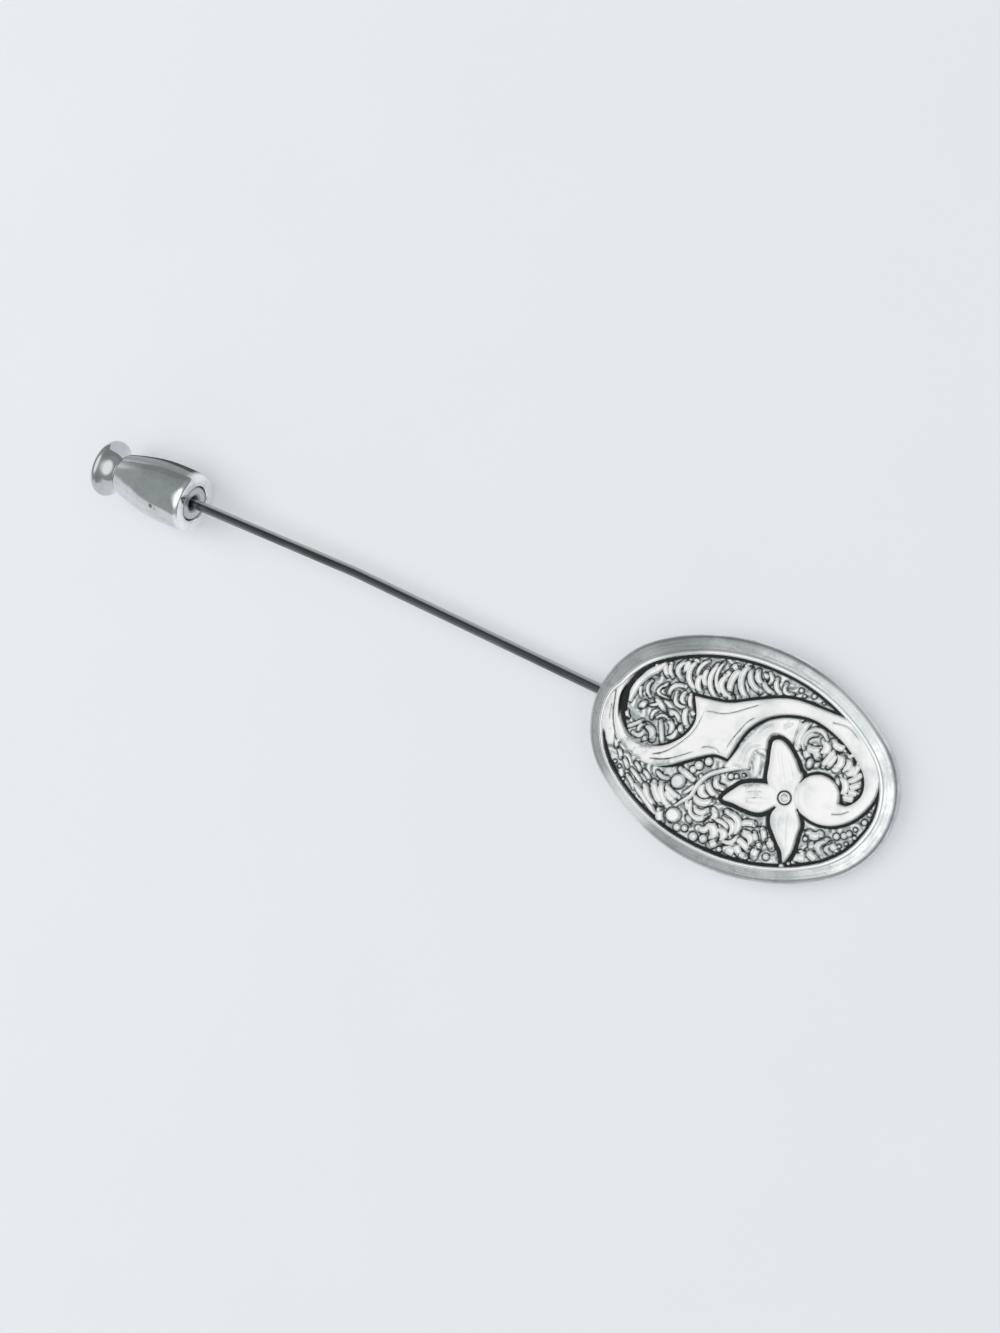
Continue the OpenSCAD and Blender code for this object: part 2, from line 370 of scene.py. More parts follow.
def newMaterial(name):
    # an empty material, its graph, and the place on the piece that its textures start from
    material = bpy.data.materials.new(name)
    material.use_nodes = True
    material.node_tree.nodes.clear()
    graph = Graph(material.node_tree)
    return material, graph, graph.add("ShaderNodeTexCoord", out=3)


def finishMaterial(graph, sockets):
    surface = graph.add("ShaderNodeBsdfPrincipled", None, sockets)
    graph.add("ShaderNodeOutputMaterial", None, {"Surface": surface})


silverLook = {
    "oxide": grey(0.024, -0.02, 0.20), "worn": grey(0.46, 0.01, 0.11),
    "bright": grey(0.95, 0.008), "cloud": grey(0.74, 0.0, 0.04),
    "wornAt": (0.015, 0.085), "brightAt": (0.088, 0.148),    # heights over the sunk floor, mm
    "mottle": 0.13, "fine": 0.06, "soot": 0.5,               # how far these shift the heights, mm
    "mottleScale": 2600.0, "fineScale": 9000.0, "cloudScale": 420.0, "cloudAt": (0.44, 0.74),
    "roughness": 0.50, "rubbed": 0.18, "uneven": 0.12,       # rubbed places are smoother
    "metallic": 0.5, "rubbedMetallic": 0.42, "bump": (0.35, 0.00003),
}


def makeReliefSilver():
    # oxide stays in the sunk floor and the high spots are rubbed bright; the soot also carries patches of
    # painted shade
    look = silverLook
    material, graph, place = newMaterial("oxidised silver relief")
    tilt = math.radians(head["tilt"])
    up = Vector((math.sin(tilt), 0.0, math.cos(tilt)))
    level = Vector(head["middle"]).dot(up) + head["floor"]
    height = graph.dot(place, tuple(up / millimetre)) - level
    mottle = graph.noise(place, look["mottleScale"], 4.0)
    fine = graph.noise(place, look["fineScale"])
    rub = (height + (mottle - 0.5) * look["mottle"] + (fine - 0.5) * look["fine"]
           - graph.painted("soot") * look["soot"])
    toWorn, toBright = (graph.step(rub, *look[key]) for key in ("wornAt", "brightAt"))
    clouds = graph.step(graph.noise(place, look["cloudScale"]), *look["cloudAt"])
    bright = graph.blend(clouds, look["bright"], look["cloud"])
    finishMaterial(graph, {
        "Base Color": graph.blend(toBright, graph.blend(toWorn, look["oxide"], look["worn"]), bright),
        "Roughness": look["roughness"] - toBright * look["rubbed"] + (fine - 0.5) * look["uneven"],
        "Metallic": look["metallic"] - toBright * (look["metallic"] - look["rubbedMetallic"]),
        "Normal": graph.bump(*look["bump"], fine + mottle * 0.5)})
    return material


rimLook = {
    "silver": grey(0.98, 0.0, 0.02), "worn": grey(0.66, 0.0, 0.06), "blotch": grey(0.40, 0.0, 0.09),
    "scuff": grey(0.93), "crest": grey(0.93, -0.005), "paintedShade": grey(0.18, 0.0, 0.12),
    "paintedHighlightTone": grey(0.95, 0.0, 0.03), "paintedShadeTone": grey(0.42, 0.0, 0.12),
    # places round the rim with a painted highlight and with painted shade: middle u and v, reach in mm,
    # strength
    "paintedHighlight": [(-6.9, -6.9, 3.6, 0.9), (6.8, 7.0, 4.5, 0.7)], "dark": [(-8.0, 6.4, 3.0, 0.6)],
    "placeLevel": -0.2, "placeStrength": 1.8,
    "scuffTurn": (0.0, 0.0, 0.6), "scuffScale": (500.0, 5200.0, 500.0), "scuffAt": (0.62, 0.74),
    "cloudScale": 420.0, "fineScale": 5000.0, "blotchScale": 1500.0, "wanderScale": 90.0,
    "wornAt": (0.36, 0.64), "blotchAt": (0.50, 0.66),
    # by the inset from the rim's edge, mm: where the crest begins, and the bands of painted shade at the
    # seam beside it and at the shoulder
    "crestAt": (1.07, 1.16), "seam": (1.02, 1.07, 1.09, 1.13), "shoulder": (0.02, 0.12, 0.26, 0.40),
    "bump": (0.25, 0.00002),
}


def makeRimSilver():
    # worn streaks run round the rim, with painted shade on its shoulder and beside the crest, and places of
    # painted highlight and painted shade
    look = rimLook
    material, graph, place = newMaterial("oxidised silver rim")
    cloud = graph.noise(place, look["cloudScale"], 5.0, 0.62)
    fine = graph.noise(place, look["fineScale"])
    inset = graph.painted("inset")
    scuffs = graph.noise(graph.mapped(place, look["scuffTurn"], look["scuffScale"]), 1.0)
    # streaks that run round the rim at one inset, broken up by the wander
    wander = graph.noise(place, look["wanderScale"], 2.0)
    worn = graph.noise(graph.join(inset * 7, wander * 9, cloud * 1.5), 1.0, 4.0, 0.6)
    blotch = graph.noise(place, look["blotchScale"], 4.0, 0.7)
    shade = graph.step(cloud * 0.5 + worn * 0.5, *look["wornAt"])
    # painted highlight and painted shade on places round the rim, broken up by the worn streaks
    paintedHighlight, dark = (sum(graph.near(place, headMatrix @ Vector((u, v, look["placeLevel"])), reach)
                      * (worn * strength * look["placeStrength"])
                      for u, v, reach, strength in look[key]) for key in ("paintedHighlight", "dark"))
    colour = graph.blend(shade, look["silver"], look["worn"])
    for amount, tone in ((graph.step(blotch, *look["blotchAt"]) * 0.32, "blotch"),
                         (graph.step(scuffs, *look["scuffAt"]) * 0.5, "scuff"),
                         (graph.step(inset, *look["crestAt"]), "crest"),
                         # painted shade in bands at the seam beside the crest and on the shoulder
                         (graph.band(inset, *look["seam"]) * 0.15
                          + graph.band(inset, *look["shoulder"]) * 0.45, "paintedShade"),
                         (paintedHighlight * 0.7, "paintedHighlightTone"), (dark, "paintedShadeTone")):
        colour = graph.blend(amount, colour, look[tone])
    finishMaterial(graph, {
        "Base Color": colour, "Roughness": 0.24 + shade * 0.12 + (fine - 0.5) * 0.1,
        "Metallic": 1 - paintedHighlight * 0.6, "Normal": graph.bump(*look["bump"], fine + scuffs)})
    return material


wireLook = {
    "steel": grey(0.22, 0.0, 0.09), "cloud": grey(0.15, 0.0, 0.10),
    # streaks of painted shade and painted highlight along it: where they begin and are full, by how far the
    # wire faces the upper side, and colour
    "core": (-0.20, 0.08, grey(0.08, 0.0, 0.12)), "paintedHighlight": (0.40, 0.60, grey(0.80, 0.0, 0.06)),
    "edge": (0.66, 0.84, grey(0.46, 0.0, 0.08)),
    "along": (0.0, -0.034, -0.02), "drawn": (120.0, 9000.0, 9000.0),    # drawing lines follow the wire
    "cloudScale": 180.0, "cloudAt": (0.35, 0.7), "roughness": 0.26, "bump": (0.2, 0.00001),
}


def makeWireSteel():
    look = wireLook
    material, graph, place = newMaterial("satin steel wire")
    lines = graph.noise(graph.mapped(place, look["along"], look["drawn"]), 1.0)
    side = graph.painted("side")
    clouds = graph.step(graph.noise(place, look["cloudScale"]), *look["cloudAt"])
    colour = graph.blend(clouds, look["steel"], look["cloud"])
    # a dark core of painted shade, a painted highlight and a paler edge, by the way the wire faces
    for key, strength in (("core", 0.6 + lines * 0.5), ("paintedHighlight", 1.0), ("edge", 1.0)):
        begins, full, tone = look[key]
        colour = graph.blend(graph.step(side, begins, full) * strength, colour, tone)
    finishMaterial(graph, {
        "Base Color": colour, "Roughness": look["roughness"] + (lines - 0.5) * 0.2, "Metallic": 1.0,
        "Normal": graph.bump(*look["bump"], lines)})
    return material


clutchLook = {
    "plate": grey(0.78, 0.0, 0.05), "cloud": grey(0.62, 0.0, 0.06), "knob": grey(0.62, 0.0, 0.04),
    "lip": grey(0.98, 0.0, 0.02), "dullAndShade": grey(0.40, 0.0, 0.08), "darkReflection": grey(0.26, 0.0, 0.10),
    "line": grey(0.03, 0.0, 0.12), "pit": grey(0.08, 0.0, 0.1),
    # directions round the clutch's axis: a darker streak and the dark far side, both painted reflections
    "streakSide": (0.77, 0.64, 0.0), "farSide": (0.05, 1.0, 0.0),
    "streakAt": (0.90, 1.0), "darkReflectionAt": (0.60, 0.80), "reflectionLineAt": (0.91, 0.965),
    # depths behind the front face, mm: the bright lip, where the painted dark reflection begins, and the
    # barrel's end
    "lipAt": (0.25, 0.60), "farFrom": (0.45, 1.1), "barrelEnd": (8.3, 8.4),
    "cloudScale": 260.0, "cloudAt": (0.3, 0.75), "mottleScale": 1500.0, "dullAt": (0.40, 0.70),
    "fineScale": 3500.0, "roughness": 0.07, "bump": (0.05, 0.00002),
    "pits": [(2.90, -34, 0.10, 0.85), (2.45, -37, 0.07, 0.4)],     # depth, angle, size, strength
    "depthShare": 0.36,     # a turn of 1 radian is 2.8 mm of skin, so depths shrink to the same measure
}


def makeClutchPlate():
    # bright plate, duller behind the lip, with painted reflections (a dark far side, a black line on it and
    # a darker streak) and two small pits
    look = clutchLook
    material, graph, place = newMaterial("bright nickel plate")
    cloud = graph.noise(place, look["cloudScale"])
    mottle = graph.noise(place, look["mottleScale"], 4.0, 0.65)
    around = graph.painted("around", 1)
    depth = graph.split(around)[2]
    far = graph.dot(around, look["farSide"])
    onBarrel = 1 - graph.step(depth, *look["barrelEnd"])
    onFar = onBarrel * graph.step(depth, *look["farFrom"])
    # painted dark reflection on the far side of the barrel
    darkReflection = graph.step(far, *look["darkReflectionAt"]) * onFar
    # a black line of painted reflection along the far side
    line = graph.step(far, *look["reflectionLineAt"]) * onFar
    # a darker streak of painted reflection round the barrel
    streak = graph.step(graph.dot(around, look["streakSide"]), *look["streakAt"]) * onBarrel
    plate = graph.blend(graph.step(cloud, *look["cloudAt"]), look["plate"], look["cloud"])
    colour = graph.blend(onBarrel, look["knob"], plate)
    colour = graph.blend(graph.step(depth, *look["lipAt"]), look["lip"], colour)
    # the dull tone takes the painted reflection streak and random dull mottling
    for amount, tone in ((streak * 0.25 + graph.step(mottle, *look["dullAt"]) * 0.22, "dullAndShade"),
                         (darkReflection * 0.9, "darkReflection"), (line, "line")):
        colour = graph.blend(amount, colour, look[tone])
    share = look["depthShare"]
    spot = graph.vector("MULTIPLY", around, (1, 1, share))
    for deep, angle, size, strength in look["pits"]:
        turn = math.radians(angle)
        away = graph.distance(spot, (math.cos(turn), math.sin(turn), deep * share))
        colour = graph.blend((1 - graph.step(away, size * 0.4, size)) * strength, colour, look["pit"])
    finishMaterial(graph, {
        "Base Color": colour,
        "Roughness": look["roughness"] + (cloud - 0.4) * 0.06 + line * 0.5 + darkReflection * 0.08,
        "Metallic": (1 - line * 0.9) * (1 - darkReflection * 0.45),
        "Normal": graph.bump(*look["bump"], graph.noise(place, look["fineScale"]) + cloud)})
    return material


insertLook = {
    "dark": grey(0.62, 0.0, 0.07), "light": grey(0.80, 0.0, 0.05), "paintedShade": grey(0.26, 0.0, 0.10),
    "ring": (0.50, 0.62, 0.84, 1.02), "rim": (1.36, 1.52),      # distances from the wire, mm
    "fineScale": 4000.0, "roughness": 0.38, "bump": (0.15, 0.00002),
}


def makeInsertPlate():
    # satin plate, with painted shade in the dished ring round the wire and at the rim
    look = insertLook
    material, graph, place = newMaterial("satin nickel insert")
    fine = graph.noise(place, look["fineScale"])
    fromWire = graph.distance(place, tuple(millimetre * clutchMatrix.translation)) / millimetre
    # painted shade in the dished ring round the wire and at the rim
    paintedShade = graph.band(fromWire, *look["ring"]) * 0.65 + graph.step(fromWire, *look["rim"]) * 0.55
    finishMaterial(graph, {
        "Base Color": graph.blend(paintedShade, graph.blend(fine, look["dark"], look["light"]), look["paintedShade"]),
        "Roughness": look["roughness"] + (fine - 0.5) * 0.1, "Metallic": 1.0,
        "Normal": graph.bump(*look["bump"], fine)})
    return material


reliefSilver = makeReliefSilver()
rimSilver = makeRimSilver()
wireSteel = makeWireSteel()
clutchPlate = makeClutchPlate()
insertPlate = makeInsertPlate()
print("finishes made")

# On the head's face u runs towards the flower end and v towards the upper side, in millimetres.
scroll = {
    "commaHead": [(-5.25, 2.95), (-4.5, 1.6), (-4.45, 0.55), (-4.95, -0.6), (-6.0, -1.7),
                  (-7.4, -2.25), (-8.9, -2.12), (-10.05, -1.2), (-10.68, 0.0), (-10.8, 1.35),
                  (-10.42, 2.74), (-9.68, 3.9), (-8.97, 4.5), (-7.5, 5.55), (-5.15, 6.7), (-2.6, 7.4),
                  (0.0, 7.65), (2.63, 7.5), (4.6, 7.0), (6.6, 6.25)],
    "commaTail": [(6.6, 6.25), (4.6, 6.15), (2.5, 6.02), (1.0, 5.55), (-0.9, 4.5),
                  (-2.4, 3.62), (-3.7, 3.25), (-5.25, 2.95)],
    "volute": [(10.72, 2.95), (10.84, 1.5), (10.45, 0.15), (9.75, -0.95), (8.75, -1.72),
               (7.6, -2.05), (6.5, -1.92), (5.55, -1.35), (5.1, -0.3), (5.42, 0.8), (6.3, 1.46),
               (7.35, 1.45), (8.15, 0.92), (8.45, 0.05)],
    "arch": [(8.45, 0.05), (9.1, 0.12), (9.65, 0.75), (9.86, 1.6), (9.45, 2.72), (8.4, 3.65),
             (6.63, 4.61), (4.5, 5.14), (2.71, 4.9), (1.15, 4.1), (0.1, 3.0), (-0.49, 1.73),
             (-0.84, -0.45)],
    "sweep": [(-0.84, -0.45), (-1.95, -0.58), (-3.18, -1.44), (-5.1, -3.0), (-6.6, -3.55),
              (-8.2, -3.35), (-9.65, -2.65), (-10.36, -1.85), (-10.84, -0.94), (-11.12, 0.0),
              (-11.45, 1.05)],
    "edge": 0.13, "rolled": 0.05, "rollReach": 0.22, "rollFrom": -0.05,     # its sloping, rolled edge
    "lineDepth": 0.07, "lineWidth": 0.09, "lineFade": 8, "lineSoot": 0.80,
    "lines": [[(-4.16, 2.37), (-4.05, 1.33), (-4.22, 0.25), (-4.72, -0.78), (-5.43, -1.83), (-6.19, -2.48),
               (-7.02, -2.82)],
              [(-4.32, 2.15), (-3.33, 2.43), (-2.54, 2.63), (-1.69, 3.18), (-0.9, 3.86), (0.1, 4.7)],
              [(-1.25, 0.0), (-1.1, 1.0), (-0.8, 2.0), (-0.5, 2.9), (0.1, 3.6)],
              [(5.3, 5.5), (6.8, 5.7), (8.1, 5.1)],
              [(-3.17, -0.6), (-2.67, -0.27), (-1.95, -0.13), (-1.42, -0.45)],
              [(-6.9, -3.15), (-5.4, -2.6), (-4.1, -1.6), (-3.4, -0.9)],
              [(8.2, -0.95), (9.0, -0.6), (9.6, 0.0)],
              [(-10.75, 1.6), (-10.85, 0.6), (-10.6, -0.4), (-10.1, -1.4)]],
    # darker patches painted on the high silver as painted shade: middle u and v, reach, strength
    "dullAndShade": [(-8.0, -2.5, 3.0, 0.60), (-5.6, -2.9, 1.8, 0.60), (2.1, -2.1, 2.0, 0.545),
             (-0.6, 1.6, 1.3, 0.56)],
    "paintedShadeFrom": 0.30,       # only what stands higher than this over the floor takes it
    "openEnd": [(-14, 1.7), (-14, -11), (14, -11), (14, 2.95)],     # closes the meadow beyond the rim
}
flower = {
    "eye": (4.57, -1.30), "eyeRadius": 0.42, "eyeRise": 0.05, "eyeSoot": 0.66, "eyeEdge": 0.12,
    "ringRadius": 0.52, "ringWidth": 0.16, "ringDepth": 0.12, "ringSoot": 0.80,
    "petals": [[(2.83, -0.77), (2.33, 0.71), (2.02, 1.68), (1.94, 2.33), (2.34, 2.62), (2.93, 2.52),
                (3.58, 2.14), (4.18, 1.66), (4.75, 1.07), (5.15, 0.75), (5.2, -0.9), (4.2, -1.4)],
               [(3.6, -0.95), (2.9, -0.91), (1.87, -1.3), (1.11, -1.75), (0.62, -2.4), (0.1, -3.45),
                (1.04, -3.43), (1.88, -3.44), (2.8, -3.35), (3.44, -3.05), (3.99, -2.36), (4.5, -1.6)],
               [(4.28, -2.22), (4.11, -2.9), (4.36, -3.64), (4.93, -4.22), (5.53, -4.79), (6.04, -5.23),
                (6.5, -5.95), (6.73, -5.15), (6.72, -4.39), (6.58, -3.51), (6.51, -2.78), (6.15, -2.19),
                (5.4, -1.5), (4.6, -1.5)]],
    "core": 1.15, "coreAt": (4.75, -1.25),
    "edge": 0.14, "rolled": 0.06, "rollReach": 0.25, "rollFrom": -0.07,
    "veinDepth": 0.03, "veinWidth": 0.07, "veinFade": 4, "veinSoot": 0.56, "veinFrom": 0.1,
    "veins": [[(4.2, -0.4), (3.4, 0.8), (2.6, 2.1)], [(3.7, 0.0), (2.9, 1.2), (2.4, 1.9)],
              [(4.6, 0.2), (4.0, 1.1), (3.3, 1.8)],
              [(3.8, -1.7), (2.6, -2.2), (1.2, -2.9)], [(3.3, -1.5), (2.3, -1.8), (1.4, -2.3)],
              [(3.5, -2.2), (2.5, -2.7), (1.6, -3.0)],
              [(5.2, -2.1), (5.6, -3.4), (6.3, -5.0)], [(4.8, -2.5), (4.9, -3.3), (5.4, -4.2)],
              [(5.8, -2.2), (6.2, -3.2), (6.4, -4.2)]],
}
boss = {"middle": (6.80, -0.25), "radius": 1.72, "dome": 9.0, "edge": 0.16,
        "lineWidth": 0.09, "lineDepth": 0.06, "lineSoot": 0.55}
leaves = {
    # share of the petals' height and outline: two leaves between the arch and the flower, one at the rim
    "main": (0.86, [(-0.77, -1.11), (-0.57, -0.25), (-0.33, 0.72), (-0.06, 1.61), (0.21, 2.3), (0.49, 2.96),
                    (0.89, 3.55), (1.46, 4.0), (2.07, 4.34), (2.72, 4.59), (3.23, 4.63), (3.3, 3.61),
                    (3.37, 2.9), (2.94, 2.95), (2.44, 3.05), (1.96, 2.98), (1.62, 2.75), (1.52, 2.45),
                    (1.5, 2.2), (1.6, 1.8), (1.62, 1.46), (1.01, 1.18), (0.88, 0.61), (0.94, 0.07),
                    (1.01, -0.47), (0.55, -0.78), (-0.06, -0.95)]),
    "tongue": (0.66, [(1.17, 0.84), (1.57, 0.84), (1.8, 0.08), (1.93, -0.73), (1.56, -0.87), (1.39, -0.3),
                      (1.24, 0.3)]),
    "strip": (0.42, [(-11.6, 0.85), (-11.36, 0.7), (-11.24, 0.05), (-11.02, -0.8), (-10.62, -1.6),
                     (-10.15, -2.35), (-9.85, -3.3), (-10.45, -3.3), (-10.85, -2.75), (-11.4, -2.2),
                     (-11.7, -1.0), (-11.75, 0.0)]),
    "cuts": [[(-11.3, -0.3), (-11.15, -1.0), (-10.95, -1.7)],
             [(0.5, -0.3), (0.29, 0.53), (0.59, 1.24), (1.25, 1.66)],
             [(2.05, 3.8), (2.6, 3.92), (2.76, 4.28)],
             [(0.05, -0.4), (0.1, 0.6), (0.3, 1.5)], [(0.55, 2.3), (0.85, 3.0), (1.5, 3.6)],
             [(2.3, 3.5), (2.4, 4.0), (2.3, 4.3)], [(0.8, -0.8), (0.3, -0.55), (-0.4, -0.7)]],
    "edge": 0.16, "cutWidth": 0.11, "cutDepth": 0.10, "cutFade": 6,
    "lobeEdge": 0.36, "lobeTrench": 0.26, "stemEnd": 0.55,      # a stem narrows to this share at its ends
}
# Low lobes and big beads: middle u and v, length, width, turn in degrees, share of the petals' height
lobes = [
    (-3.71, -3.74, 1.3, 1.15, 60, 0.95), (-2.96, -6.35, 1.28, 1.22, 30, 0.95),
    (5.2, 1.95, 0.95, 0.6, 100, 0.62), (5.75, 2.05, 0.7, 0.42, 60, 0.55), (-7.6, 1.2, 1.6, 0.6, 150, 0.45),
    (-8.9, 0.6, 0.9, 0.6, 60, 0.4), (-6.4, 0.9, 0.7, 0.5, 20, 0.4), (-2.3, -5.1, 1.1, 0.5, -60, 0.7),
    (-1.7, -6.1, 0.8, 0.5, -40, 0.62), (7.75, 1.55, 0.9, 0.45, -60, 0.6), (2.2, -6.4, 0.8, 0.4, 0, 0.5),
    (-10.9, -1.9, 0.5, 0.3, 60, 0.4),
]
# Stems and curls: width, share of the petals' height, then the points
stems = [
    (0.36, 0.85, [(1.0, -0.39), (-0.17, -1.03), (-0.9, -1.56), (-1.6, -2.18), (-1.99, -2.84),
                  (-2.22, -3.63), (-2.29, -4.34), (-2.76, -5.04), (-3.11, -5.59)]),
    (0.46, 0.85, [(-6.82, -5.5), (-5.75, -6.1), (-4.41, -6.85)]),
    (0.62, 0.78, [(-8.55, 4.25), (-8.99, 3.61), (-9.38, 3.14), (-9.72, 2.55), (-9.98, 1.91), (-10.05, 1.28),
                  (-10.0, 0.5)]),
    (0.36, 0.85, [(4.31, 2.77), (4.03, 3.3), (4.13, 4.0), (4.56, 4.5), (5.19, 4.55), (5.7, 4.15)]),
    (0.34, 0.6, [(-2.11, -4.73), (-1.95, -5.3), (-1.7, -5.65), (-1.02, -5.9)]),
    (0.3, 0.55, [(-11.0, 0.2), (-10.75, -0.9), (-10.3, -1.9), (-9.5, -2.9)]),
]
